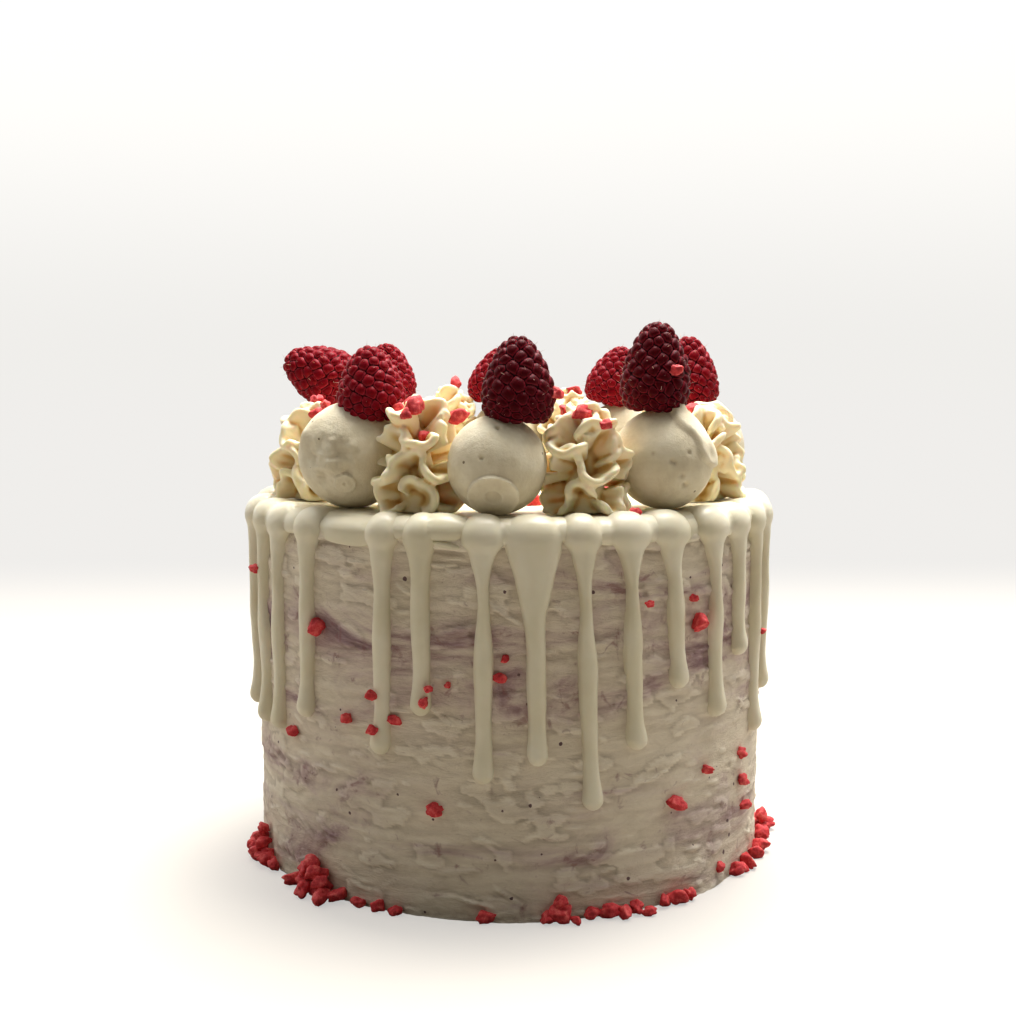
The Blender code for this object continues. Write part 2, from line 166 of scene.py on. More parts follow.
def smooth_faces(piece, degrees):
    pick(piece)
    bpy.ops.object.shade_smooth_by_angle(angle=math.radians(degrees))


def count_faces(piece):
    piece.data.calc_loop_triangles()
    print(piece.name, "has", len(piece.data.loop_triangles), "triangles")


# %% Helpers for shapes that follow a rule
def around(angle, radius, z):
    """Points at an angle of the cake, a radius from its axis and a height: numbers or arrays."""
    turn = np.radians(angle)
    return np.stack(np.broadcast_arrays(radius * np.sin(turn), -radius * np.cos(turn), z), axis=-1)


def angle_of(points):
    return np.degrees(np.arctan2(points[:, 0], -points[:, 1]))


def grain(points, size, shift=0.0):
    """Smooth noise from -1 to 1 at each point. size is the grain in metres, one number or three."""
    places = points / np.asarray(size) + shift
    return np.array([noise.noise(place) for place in places.tolist()])


def wave(angle, *terms):
    """A sum of sines round the cake: each term is its size, its count round the cake and its shift."""
    turn = np.radians(angle)
    return sum(size * np.sin(count * turn + shift) for size, count, shift in terms)


def smoothstep(low, high, x):
    share = np.clip((x - low) / (high - low), 0.0, 1.0)
    return share * share * (3.0 - 2.0 * share)


def curve_through(knots, values, x):
    """A smooth curve through the values at the knots, read at x."""
    knots, values = np.asarray(knots, float), np.asarray(values, float)
    slopes = np.gradient(values, knots)
    i = np.clip(np.searchsorted(knots, x, side="right") - 1, 0, len(knots) - 2)
    step = knots[i + 1] - knots[i]
    t = (x - knots[i]) / step
    start, end = values[i] * (1 + 2 * t) * (1 - t) ** 2, values[i + 1] * t * t * (3 - 2 * t)
    return start + end + step * (slopes[i] * t * (1 - t) ** 2 - slopes[i + 1] * t * t * (1 - t))


def drawn_sphere(name, sides, rings, place):
    """A UV sphere whose points are drawn to place(ring, side), ring 0 being its upper pole."""
    start_clean()
    bpy.ops.mesh.primitive_uv_sphere_add(segments=sides, ring_count=rings, radius=1.0)
    piece = bpy.context.object
    x, y, z = points_of(piece).T
    ring = np.rint(np.arccos(np.clip(z, -1.0, 1.0)) * rings / math.pi).astype(int)
    side = np.rint(np.arctan2(y, x) * sides / math.tau).astype(int) % sides
    move_points(piece, place(ring, side))
    turn_outwards(piece)
    return settle(piece, name)


def mark_hollows(piece, rounds, depth):
    """Stores in the attribute hollow how deep a point lies below its smoothed surroundings."""
    mesh, points = piece.data, points_of(piece)
    ends = np.empty(2 * len(mesh.edges), int)
    mesh.edges.foreach_get("vertices", ends)
    a, b = ends.reshape(-1, 2).T
    neighbours = np.bincount(ends, minlength=len(points))
    soft = points.copy()
    for _ in range(rounds):
        for axis in range(3):
            sums = np.bincount(a, soft[b, axis], len(points)) + np.bincount(b, soft[a, axis], len(points))
            soft[:, axis] = sums / neighbours
    normals = np.empty(3 * len(points))
    mesh.vertex_normals.foreach_get("vector", normals)
    value = np.einsum("ij,ij->i", soft - points, normals.reshape(-1, 3)) / depth
    mesh.attributes.new("hollow", "FLOAT", "POINT").data.foreach_set("value", value.astype(np.float32))


# %% [markdown]
# ## Materials
#
# Every finish is a Principled shader fed by procedural patterns. The patterns read Object
# coordinates, which are metres on the cake here because each object sits at the origin, so a scale
# is one over a real size. One helper adds a node with its settings and links.

# %% Helpers for materials
def to_linear(colour):
    """The linear colour of an sRGB hex value such as F3ECDB."""
    channels = [int(colour[i : i + 2], 16) / 255 for i in (0, 2, 4)]
    return (*(c / 12.92 if c <= 0.04045 else ((c + 0.055) / 1.055) ** 2.4 for c in channels), 1.0)


def add_node(tree, kind, inputs=None, **settings):
    """Adds a node. inputs are its sockets' values or what feeds them, and settings its own values."""
    node = tree.nodes.new("ShaderNode" + kind)
    for name, value in settings.items():
        if name == "stops":
            ramp = node.color_ramp.elements
            while len(ramp) < len(value):
                ramp.new(0.5)
            for element, (position, colour) in zip(ramp, value):
                element.position = position
                element.color = to_linear(colour)
        else:
            setattr(node, name, value)
    for name, value in (inputs or {}).items():
        if isinstance(value, bpy.types.NodeSocket):
            tree.links.new(value, node.inputs[name])
        else:
            node.inputs[name].default_value = value
    return node.outputs


def new_material(name, **values):
    """A material with its Principled shader set to uniform values. Returns it, its tree and shader."""
    material = bpy.data.materials.new(name)
    material.use_nodes = True
    shader = material.node_tree.nodes["Principled BSDF"]
    for socket, value in values.items():
        shader.inputs[socket.replace("_", " ")].default_value = value
    return material, material.node_tree, shader


# %% [markdown]
# ### Palette-knifed buttercream
#
# The side of the cake is buttercream spread with a palette knife, with a little crushed fruit that
# the knife drew into it. What the eye sees is a dull cream with dusky pink and mauve streaks that
# run round the cake, tiny dark seeds and the fine scratches of the blade. The noise is squeezed in
# height, so it comes out as streaks. The attribute hollow paints shade into the grooves and leaves
# the torn ridges plain cream.

# %% Material of the side
def knifed_buttercream():
    material, tree, shader = new_material("Knifed_Buttercream", Roughness=0.62, Subsurface_Weight=0.0)
    place = add_node(tree, "TexCoord")["Object"]
    flat = add_node(tree, "Mapping", {"Vector": place, "Scale": (1.0, 1.0, 2.7)})["Vector"]
    # Streaks about 35 mm long, strongest in a band above the middle and in two faint ones below
    streaks = add_node(tree, "TexNoise", {
        "Vector": flat, "Scale": 27.0, "Detail": 7.0, "Roughness": 0.60, "Distortion": 0.9})["Fac"]
    height = add_node(tree, "SeparateXYZ", {"Vector": place})["Z"]
    share = add_node(tree, "Math", {0: height, 1: CAKE_HEIGHT}, operation="DIVIDE")[0]
    band = add_node(tree, "ValToRGB", {"Fac": share}, stops=[
        (0.0, "505050"), (0.16, "8A8A8A"), (0.24, "4A4A4A"), (0.30, "7C7C7C"), (0.44, "5A5A5A"),
        (0.56, "A8A8A8"), (0.72, "C8C8C8"), (0.84, "6A6A6A"), (1.0, "303030")])["Color"]
    lift = add_node(tree, "Math", {0: band, 1: 0.34, 2: -0.10}, operation="MULTIPLY_ADD")[0]
    fruit = add_node(tree, "Math", {0: streaks, 1: lift}, operation="ADD")[0]
    tint = add_node(tree, "ValToRGB", {"Fac": fruit}, stops=[
        (0.38, "F1E7D2"), (0.50, "EADECC"), (0.575, "DCCBC0"), (0.63, "C4ABA6"), (0.69, "9E8084"),
        (0.78, "6E5058")])["Color"]
    # Cloudy tone of 10 mm, and painted shade in the grooves
    mottle = add_node(tree, "TexNoise", {
        "Vector": flat, "Scale": 95.0, "Detail": 6.0, "Roughness": 0.7, "Distortion": 0.6})["Fac"]
    depth = add_node(tree, "Attribute", attribute_name="hollow")["Fac"]
    painted_groove_shade = add_node(tree, "MapRange", {"Value": depth, "From Min": -0.5, "From Max": 0.6})["Result"]
    colour = tint
    for value, strength, stops in (
            (mottle, 0.30, [(0.34, "B9AC9C"), (0.56, "FFFFFF")]),
            (painted_groove_shade, 0.70, [(0.0, "FFFFFF"), (0.45, "EDE8E2"), (1.0, "A69A8E")])):
        shade = add_node(tree, "ValToRGB", {"Fac": value}, stops=stops)["Color"]
        colour = add_node(tree, "Mix", {"Factor": strength, 6: colour, 7: shade},
                          data_type="RGBA", blend_type="MULTIPLY")[2]
    # Flecks of pulp, more of them where there is fruit, and seeds of a millimetre
    flecks = add_node(tree, "TexNoise", {
        "Vector": place, "Scale": 190.0, "Detail": 4.0, "Roughness": 0.6, "Distortion": 0.8})["Fac"]
    pulp = add_node(tree, "Math", {0: fruit, 1: 0.30, 2: flecks}, operation="MULTIPLY_ADD")[0]
    pulp = add_node(tree, "MapRange", {
        "Value": pulp, "From Min": 0.755, "From Max": 0.86, "To Max": 0.6})["Result"]
    cells = add_node(tree, "TexVoronoi", {"Vector": place, "Scale": 150.0})["Distance"]
    jagged = add_node(tree, "Math", {0: flecks, 1: 0.30, 2: cells}, operation="MULTIPLY_ADD")[0]
    seed = add_node(tree, "Math", {0: jagged, 1: 0.212}, operation="LESS_THAN")[0]
    for amount, dark in ((pulp, "8A5C5C"), (seed, "644A4C")):
        colour = add_node(
            tree, "Mix", {"Factor": amount, 6: colour, 7: to_linear(dark)}, data_type="RGBA")[2]
    scratch = add_node(tree, "TexNoise", {
        "Vector": flat, "Scale": 170.0, "Detail": 7.0, "Roughness": 0.72, "Distortion": 0.5})["Fac"]
    relief = add_node(tree, "Bump", {"Strength": 0.8, "Distance": 0.0012, "Height": scratch})["Normal"]
    tree.links.new(colour, shader.inputs["Base Color"])
    tree.links.new(relief, shader.inputs["Normal"])
    return material


BUTTERCREAM = knifed_buttercream()

# %% [markdown]
# ### White chocolate, meringue and piped buttercream
#
# The poured chocolate set smooth: a satin surface with hardly any grain. The meringue balls dried in
# the oven: chalky, with a fine sandy grain and a few tiny pits, painted as dark dots of shade, and
# painted shade in their dents. The piped buttercream is softer and yellower, and light goes right
# through its thin lips; its deep folds are painted amber, as painted shade and bounced light. They
# and the fruit share one recipe: a cloud of noise runs over a few close colours, and a finer noise
# is the skin. Where the mesh has an attribute for its hollows or drupelets, that is added to the
# cloud, and so paints the shade in hollows and folds, and the berries' painted sheen and creases.

# %% The recipe
def food(name, stops, cloud, skin, bump, layer=None, painted_pit_shade=None, **values):
    """A food's material. cloud and skin are a noise's scale, detail and roughness, and bump is the
    skin's strength and depth. layer is an attribute, its share and the cloud's share: it paints shade
    in hollows and folds, or a sheen and crease shade on drupelets. The pits are a scale, a size and
    the colour of the painted shade in tiny holes."""
    material, tree, shader = new_material(name, **values)
    place = add_node(tree, "TexCoord")["Object"]
    value, fine = (add_node(tree, "TexNoise", {
        "Vector": place, "Scale": scale, "Detail": detail, "Roughness": roughness})["Fac"]
        for scale, detail, roughness in (cloud, skin))
    if layer:
        own = add_node(tree, "Attribute", attribute_name=layer[0])["Fac"]
        own = add_node(tree, "Math", {0: own, 1: layer[1]}, operation="MULTIPLY")[0]
        value = add_node(tree, "Math", {0: value, 1: layer[2], 2: own}, operation="MULTIPLY_ADD")[0]
    colour = add_node(tree, "ValToRGB", {"Fac": value}, stops=stops)["Color"]
    if painted_pit_shade:
        cells = add_node(tree, "TexVoronoi", {"Vector": place, "Scale": painted_pit_shade[0]})["Distance"]
        pit_shade_mask = add_node(tree, "Math", {0: cells, 1: painted_pit_shade[1]}, operation="LESS_THAN")[0]
        colour = add_node(
            tree, "Mix", {"Factor": pit_shade_mask, 6: colour, 7: to_linear(painted_pit_shade[2])}, data_type="RGBA")[2]
    relief = add_node(tree, "Bump", {"Strength": bump[0], "Distance": bump[1], "Height": fine})["Normal"]
    tree.links.new(colour, shader.inputs["Base Color"])
    tree.links.new(relief, shader.inputs["Normal"])
    return material


# %% Chocolate, meringue and piping
CHOCOLATE = food(
    "White_Chocolate_Ganache", [(0.35, "DAD2B6"), (0.65, "E4DDC6")], cloud=(70.0, 3.0, 0.5),
    skin=(420.0, 2.0, 0.5), bump=(0.10, 0.0004), Roughness=0.36, Subsurface_Weight=0.15,
    Subsurface_Scale=0.002, Subsurface_Radius=(1.0, 0.7, 0.4), IOR=1.46)
# Hollows are painted darker, as shade, and small dark dots are painted shade of tiny holes
MERINGUE = food(
    "Baked_Meringue", [(0.05, "8F846E"), (0.32, "CFC2A6"), (0.50, "DBD0B4"), (0.72, "E8DFC6")],
    cloud=(120.0, 4.0, 0.6), skin=(900.0, 4.0, 0.7), bump=(0.6, 0.0004), layer=("hollow", -0.22, 1.0),
    painted_pit_shade=(118.0, 0.045, "8A7A60"), Roughness=0.86, Subsurface_Weight=0.12, Subsurface_Scale=0.002,
    Subsurface_Radius=(1.0, 0.75, 0.5))
# Deep folds are painted amber, as painted shade and the light that bounces in them
PIPING = food(
    "Piped_Buttercream", [(0.0, "F4E8C6"), (0.25, "EEDFB4"), (0.50, "E2C486"), (1.0, "B98439")],
    cloud=(160.0, 3.0, 0.5), skin=(700.0, 3.0, 0.5), bump=(0.15, 0.0003), layer=("hollow", 1.0, 0.25),
    Roughness=0.46, Subsurface_Weight=0.35, Subsurface_Scale=0.003,
    Subsurface_Radius=(1.0, 0.62, 0.28), IOR=1.46)

# %% [markdown]
# ### Raspberry, whole and freeze-dried
#
# A raspberry is dark and velvety: its skin is covered with fine down, which catches light at the
# edge of every drupelet. A paler painted sheen there and a little real sheen give that rim, and the
# creases are painted a deeper red, as shade. Freeze-dried, the same fruit is coral red, dry and
# matt, and a little light goes through.

# %% The fruit
# The third colour is a painted sheen at each drupelet's edge, and the last is painted shade deep in the
# creases
def fresh_raspberry(name, skin, rim, crease_shade):
    return food(
        name, [(0.0, skin), (0.30, skin), (0.66, rim), (0.80, rim), (1.0, crease_shade)],
        cloud=(240.0, 3.0, 0.5), skin=(1500.0, 3.0, 0.7), bump=(0.35, 0.0002),
        layer=("drupelet", 1.0, 0.30), Roughness=0.42, Subsurface_Weight=0.25, Subsurface_Scale=0.003,
        Subsurface_Radius=(1.0, 0.06, 0.05), Sheen_Weight=0.03, Sheen_Roughness=0.30,
        Sheen_Tint=to_linear("F08088"), Specular_IOR_Level=0.06)


BERRY = fresh_raspberry("Fresh_Raspberry", "7A0716", "A42634", "42020A")
# Berries 1 and 2 take a darker copy of the same recipe
DARKER_BERRY = fresh_raspberry("Darker_Raspberry", "4A030D", "7C1A28", "2A0108")
DRIED = food(
    "Freeze_Dried_Raspberry", [(0.30, "A8161E"), (0.50, "D2343A"), (0.70, "EE7068")],
    cloud=(520.0, 4.0, 0.7), skin=(520.0, 4.0, 0.7), bump=(0.6, 0.0004), Roughness=0.70,
    Subsurface_Weight=0.20, Subsurface_Scale=0.0015, Subsurface_Radius=(1.0, 0.25, 0.20))
DOWN = new_material(
    "Raspberry_Down", Roughness=0.6, Base_Color=to_linear("D8B8A0"), Subsurface_Weight=0.0)[0]


def dress(piece, material, slot, *nodes):
    """Gives a finished piece its material and says what it rides on and stands for. slot is not used."""
    piece.data.materials.clear()
    piece.data.materials.append(material)
    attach(piece, "root")
    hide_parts(*nodes)
    count_faces(piece)


# %% [markdown]
# ## The camera, the light and the floor
#
# The cake was photographed from just above its own height, against a bright backdrop, so its front
# lies in soft shade while its top and its edges glow. A white world that is bright behind the cake
# and dim before it does the same, with one large lamp above and behind.

# %% Camera
CAMERA_PLACE = (-0.0004, -0.4428, 0.1496)
CAMERA_TILT = 83.853
camera = new_object("camera", bpy.data.cameras.new("camera"))
camera.data.lens = 50.14
camera.data.sensor_width = 36.0
camera.location = CAMERA_PLACE
camera.rotation_euler = (math.radians(CAMERA_TILT), 0.0, 0.0)
bpy.context.scene.camera = camera

# %% Light
FRONT_LIGHT, BACK_LIGHT = 0.024, 1.36
BACKDROP, BACKDROP_TOP = 0.87, 1.05

bpy.context.scene.view_settings.view_transform = "Standard"
world = bpy.data.worlds.new("studio")
world.use_nodes = True
bpy.context.scene.world = world
sky = world.node_tree
way = add_node(sky, "TexCoord")["Generated"]
parts = add_node(sky, "SeparateXYZ", {"Vector": way})
lean = add_node(sky, "Math", {0: parts["Z"], 1: 0.35, 2: parts["Y"]}, operation="MULTIPLY_ADD")[0]
level = add_node(sky, "MapRange", {
    "Value": lean, "From Min": -0.35, "From Max": 0.50, "To Min": FRONT_LIGHT, "To Max": BACK_LIGHT},
    interpolation_type="SMOOTHSTEP")["Result"]
seen = add_node(sky, "LightPath")["Is Camera Ray"]
backdrop = add_node(sky, "MapRange", {
    "Value": parts["Z"], "From Min": 0.0, "From Max": 0.22, "To Min": BACKDROP, "To Max": BACKDROP_TOP},
    interpolation_type="SMOOTHSTEP")["Result"]
shown = add_node(sky, "Mix", {0: seen, 2: level, 3: backdrop}, data_type="FLOAT")[0]
sky.links.new(shown, sky.nodes["Background"].inputs["Strength"])
sky.nodes["Background"].inputs["Color"].default_value = (1.0, 0.985, 0.955, 1.0)


def add_lamp(name, place, target, size, power, colour):
    lamp = new_object(name, bpy.data.lights.new(name, "AREA"))
    lamp.data.size = size
    lamp.data.energy = power
    lamp.data.color = colour
    lamp.location = place
    lamp.rotation_euler = (Vector(target) - Vector(place)).to_track_quat("-Z", "Y").to_euler()


add_lamp("lamp_above", (0.18, 0.30, 1.15), (0.0, 0.0, 0.10), 0.7, 35.0, (1.0, 0.98, 0.94))
add_lamp("lamp_front", (-0.5, -1.1, 0.7), (0.0, 0.0, 0.06), 1.0, 0.5, (1.0, 0.92, 0.82))

# %% Floor
# The board under the cake is lit from all round and shows almost white, while what it throws back
# at the cake is less: the camera sees a brighter board than the cake does.
GLOW_AT_CAKE = 0.50

start_clean()
bpy.ops.mesh.primitive_plane_add(size=12.0, location=(0.0, 0.0, 0.0))
floor = settle(bpy.context.object, "floor")
board, tree, shader = new_material(
    "Pale_Board", Roughness=0.8, Base_Color=to_linear("9C968D"), Specular_IOR_Level=0.1)
floor.data.materials.append(board)
bare = shader.outputs["BSDF"]
at = add_node(tree, "TexCoord")["Object"]
back = add_node(tree, "SeparateXYZ", {"Vector": at})["Y"]
fade = add_node(tree, "MapRange", {
    "Value": back, "From Min": 0.10, "From Max": 0.62, "To Min": 1.0, "To Max": 0.0},
    interpolation_type="SMOOTHSTEP")["Result"]
glow = add_node(tree, "MapRange", {"Value": fade, "To Min": BACKDROP, "To Max": GLOW_AT_CAKE})["Result"]
lit = add_node(tree, "Emission", {"Strength": glow, "Color": to_linear("FFFDFA")})["Emission"]
seen = add_node(tree, "LightPath")["Is Camera Ray"]
nothing = add_node(tree, "BsdfTransparent", {"Color": (0.0, 0.0, 0.0, 1.0)})["BSDF"]
near = add_node(tree, "MixShader", {"Fac": fade, 1: nothing, 2: bare})["Shader"]
both = add_node(tree, "AddShader", {0: near, 1: lit})["Shader"]
mixed = add_node(tree, "MixShader", {"Fac": seen, 1: bare, 2: both})["Shader"]
tree.links.new(mixed, tree.nodes["Material Output"].inputs["Surface"])

# %% [markdown]
# ## The iced side
#
# A cake turned on its stand is spread with a palette knife. The blade leaves slow waves, long flat
# strokes, thin torn ridges where it lifts, and a ragged foot. A cylinder primitive gives the form:
# its rim is bevelled and its side cut into fine rings in edit mode, and then every point is pushed
# in or out by the same slow rule as the solid, with the fine strokes on top.

# %% Cylinder with a rounded rim and fine rings
AROUND = 512
SIDE_CUTS = (15, 10)
LONGEST_EDGE = 0.0045

start_clean()
bpy.ops.mesh.primitive_cylinder_add(
    vertices=AROUND, radius=CAKE_RADIUS, depth=CAKE_HEIGHT, location=(0.0, 0.0, CAKE_HEIGHT / 2))
coat = settle(bpy.context.object, "iced_cake")


def select_edges(piece, wanted):
    """Selects in edit mode the edges for which wanted(first point, second point) is true."""
    bpy.ops.object.mode_set(mode="EDIT")
    bpy.ops.mesh.select_mode(type="EDGE")
    bpy.ops.mesh.select_all(action="DESELECT")
    bpy.ops.object.mode_set(mode="OBJECT")
    points = piece.data.vertices
    for edge in piece.data.edges:
        edge.select = bool(wanted(*(points[i].co for i in edge.vertices)))
    bpy.ops.object.mode_set(mode="EDIT")


def on_top_rim(a, b):
    return min(a.z, b.z) > CAKE_HEIGHT - 1e-5 and min(a.xy.length, b.xy.length) > CAKE_RADIUS - 1e-4


def down_the_side(a, b):
    return abs(a.z - b.z) > LONGEST_EDGE


select_edges(coat, on_top_rim)
bpy.ops.mesh.bevel(offset=EDGE_ROUNDING, segments=6)
bpy.ops.object.mode_set(mode="OBJECT")
for cuts in SIDE_CUTS:
    select_edges(coat, down_the_side)
    bpy.ops.mesh.subdivide(number_cuts=cuts)
    bpy.ops.object.mode_set(mode="OBJECT")
count_faces(coat)


# %% Relief that the solid has too
def knife_relief(angle, z):
    """How far the palette knife left the buttercream proud at an angle and a height."""
    up = z / CAKE_HEIGHT
    slow = wave(angle, (0.00024, 3, 1.0 + 5.0 * up), (0.00020, 7, 2.0 - 7.0 * up))
    strokes = 0.00012 * np.sin(22.0 * up + wave(angle, (2.2, 2, 0.4), (1.3, 5, 1.9)))
    return (slow + strokes) * np.minimum(1.0, 6.0 * (1.0 - up) + 0.1)


def foot_relief(angle):
    return np.maximum(0.0, wave(angle, (0.0005, 9, 0.7), (0.0004, 16, 2.1)))


# %% Strokes, torn ridges, lip and foot
RIDGES = 230
RIDGE_HEIGHT = 0.00070
COAT_LIP, COAT_LIP_FOOT = 0.0007, 0.1000
# How far each kind of mark reaches across and in height, in metres
PATCH = (0.017, 0.017, 0.010)
LONG_STROKE = (0.022, 0.022, 0.0028)
FINE_STROKE = (0.009, 0.009, 0.0011)
PLATE = (0.014, 0.014, 0.0060)
PLATE_EDGE = (0.0042, 0.0042, 0.0030)
TEAR = (0.006, 0.006, 0.0016)
draw = random.Random(11)

points = points_of(coat)
z = points[:, 2]
radius = np.hypot(points[:, 0], points[:, 1])
angle = angle_of(points)
patches = grain(points, PATCH, 57.0)
fine_strokes = grain(points, FINE_STROKE, 31.0) * (0.5 + np.abs(patches))
plates = grain(points, PLATE, 19.0) + 0.40 * grain(points, PLATE_EDGE, 23.0)
tears = np.clip(grain(points, TEAR, 83.0) - 0.30, 0.0, 1.0)
relief = knife_relief(angle, z)
relief += 0.00028 * grain(points, LONG_STROKE) + 0.00010 * fine_strokes
relief += 0.00012 * np.clip(patches, -0.6, 0.6)
relief += 0.00034 * smoothstep(0.24, 0.30, plates)
relief += 0.0015 * tears * smoothstep(0.0, 0.4, patches)
for _ in range(RIDGES):
    middle, level = draw.uniform(-180.0, 180.0), draw.uniform(0.004, 0.099)
    half = draw.uniform(0.0015, 0.0060)
    slope, width = draw.choice((0.2, 0.2, 0.9)) * draw.uniform(-1.0, 1.0), draw.uniform(0.00024, 0.00045)
    along = np.radians((angle - middle + 180.0) % 360.0 - 180.0) * CAKE_RADIUS
    off = z - level - slope * along - 0.0004 * np.sin(along / 0.0017 + middle)
    ends = np.clip(1.0 - (along / half) ** 2, 0.0, 1.0)
    relief += RIDGE_HEIGHT * draw.uniform(0.4, 1.0) * np.sqrt(ends) * np.exp(-((off / width) ** 2))
lip_proud = COAT_LIP + wave(angle, (0.0004, 8, 2.6), (0.0003, 17, 0.2))
lip_foot = COAT_LIP_FOOT + wave(angle, (0.0009, 7, 1.1), (0.0006, 19, 0.5))
relief += np.maximum(0.0002, lip_proud) * smoothstep(lip_foot - 0.0004, lip_foot + 0.0003, z)
ragged = foot_relief(angle) + 0.0005 * np.abs(grain(points, 0.0022, 7.0))
relief += ragged * np.clip(1.0 - z / 0.0060, 0.0, 1.0) ** 1.5
relief *= smoothstep(CAKE_HEIGHT, CAKE_HEIGHT - EDGE_ROUNDING, z)
stretch = np.where(radius > CAKE_RADIUS / 2, (radius + relief) / np.maximum(radius, 1e-9), 1.0)
points[:, :2] *= stretch[:, None]
move_points(coat, points)
smooth_faces(coat, 60)
# The hollow attribute feeds the painted shade in the grooves of the buttercream's colour
mark_hollows(coat, rounds=6, depth=0.00035)
dress(coat, BUTTERCREAM, "buttercream", "cake")

# %% [markdown]
# ## The poured chocolate
#
# Warm white chocolate is poured on the cold cake. It spreads to a pool, thickens to a rounded lobe
# at the rim, and runs down in drips that set with a round drop at the end. The pool is a profile
# spun about the axis. Each drip is a sphere drawn out along its way over the rim, a shorter one
# makes each lip between two drips, and a union makes one body of them all, so that the creases
# between the lobes are real.

# %% The pool: a profile spun about the axis of the cake
POOL_STEPS = 160
EDGE_PROFILE = [
    (0.0735, -0.0002), (0.0749, -0.0006), (0.0759, -0.0012), (0.0762, -0.0018), (0.0752, -0.0021)]

profile = [(0.0041 * i, 0.0) for i in range(18)] + EDGE_PROFILE + [(0.0, -0.0021)]
mesh = bpy.data.meshes.new("pool")
mesh.from_pydata(
    [(r, 0.0, POOL_TOP + drop) for r, drop in profile], [(i, i + 1) for i in range(len(profile) - 1)], [])
pool = new_object("pool", mesh)
edit_all(pool)
bpy.ops.mesh.spin(steps=POOL_STEPS, angle=math.tau, center=(0.0, 0.0, 0.0), axis=(0.0, 0.0, 1.0))
bpy.ops.mesh.select_all(action="SELECT")
bpy.ops.mesh.remove_doubles(threshold=1e-5)
bpy.ops.object.mode_set(mode="OBJECT")

points = points_of(pool)
radius = np.hypot(points[:, 0], points[:, 1])
wavy = wave(angle_of(points), (0.0004, 11, 0.3), (0.0003, 17, 1.8)) * (radius > CAKE_RADIUS / 2)
points[:, :2] *= (1.0 + wavy / np.maximum(radius, 1e-6))[:, None]
top = points[:, 2] > POOL_TOP - 1e-5
points[:, 2] += np.where(top, 0.00025 * grain(points, 0.016), 0.0)
move_points(pool, points)
turn_outwards(pool)
count_faces(pool)


# %% The way of a drip: over the top, round the rim and down the side
ON_TOP = CAKE_RADIUS - EDGE_ROUNDING - DRIP_START
OVER = ON_TOP + EDGE_ROUNDING * math.pi / 2


def drip_route(s):
    """The radius and height of the cake's surface s along a drip, and the way out of it there."""
    bend = np.clip((s - ON_TOP) / EDGE_ROUNDING, 0.0, math.pi / 2)
    out, up = np.sin(bend), np.cos(bend)
    radius = DRIP_START + np.minimum(s, ON_TOP) + EDGE_ROUNDING * out
    z = CAKE_HEIGHT - EDGE_ROUNDING * (1.0 - up) - np.maximum(s - OVER, 0.0)
    return radius, z, out, up


# %% A tongue of chocolate, drawn out of a sphere
DRIP_SIDES = 26


def tongue(name, way, angle, width, proud, cap, slant=0.0):
    """A sphere drawn over the rim. At each ring: how far along, at which angle, how wide, how proud."""

    def place(ring, side):
        turn = math.tau * side / DRIP_SIDES
        across = 0.5 * width[ring] * cap[ring] * np.cos(turn)
        radius, z, out, up = drip_route(way[ring] + slant * across)
        at = angle[ring] + np.degrees(across / CAKE_RADIUS)
        base = np.where(out > 0.99, knife_relief(at, z) - 0.0002, 0.0002)
        rise = np.clip(np.sin(turn), 0.0, 1.0) ** (0.90 - 0.32 * smoothstep(OVER, OVER + 0.006, way[ring]))
        sink = np.clip(-np.sin(turn), 0.0, 1.0) ** 0.72
        depth = base + rise * cap[ring] ** 0.7 * (proud[ring] - base) - 0.0009 * sink
        return around(at, radius + depth * out, z + depth * up)

    return drawn_sphere(name, DRIP_SIDES, len(way) - 1, place)


# %% One drip
LOBE_RINGS, RUN_RINGS, TIP_RINGS = 26, 34, 12
TIP_ROUND = 0.0032
START_ROUND = 0.0050
SHORT_TAPER = 0.0068


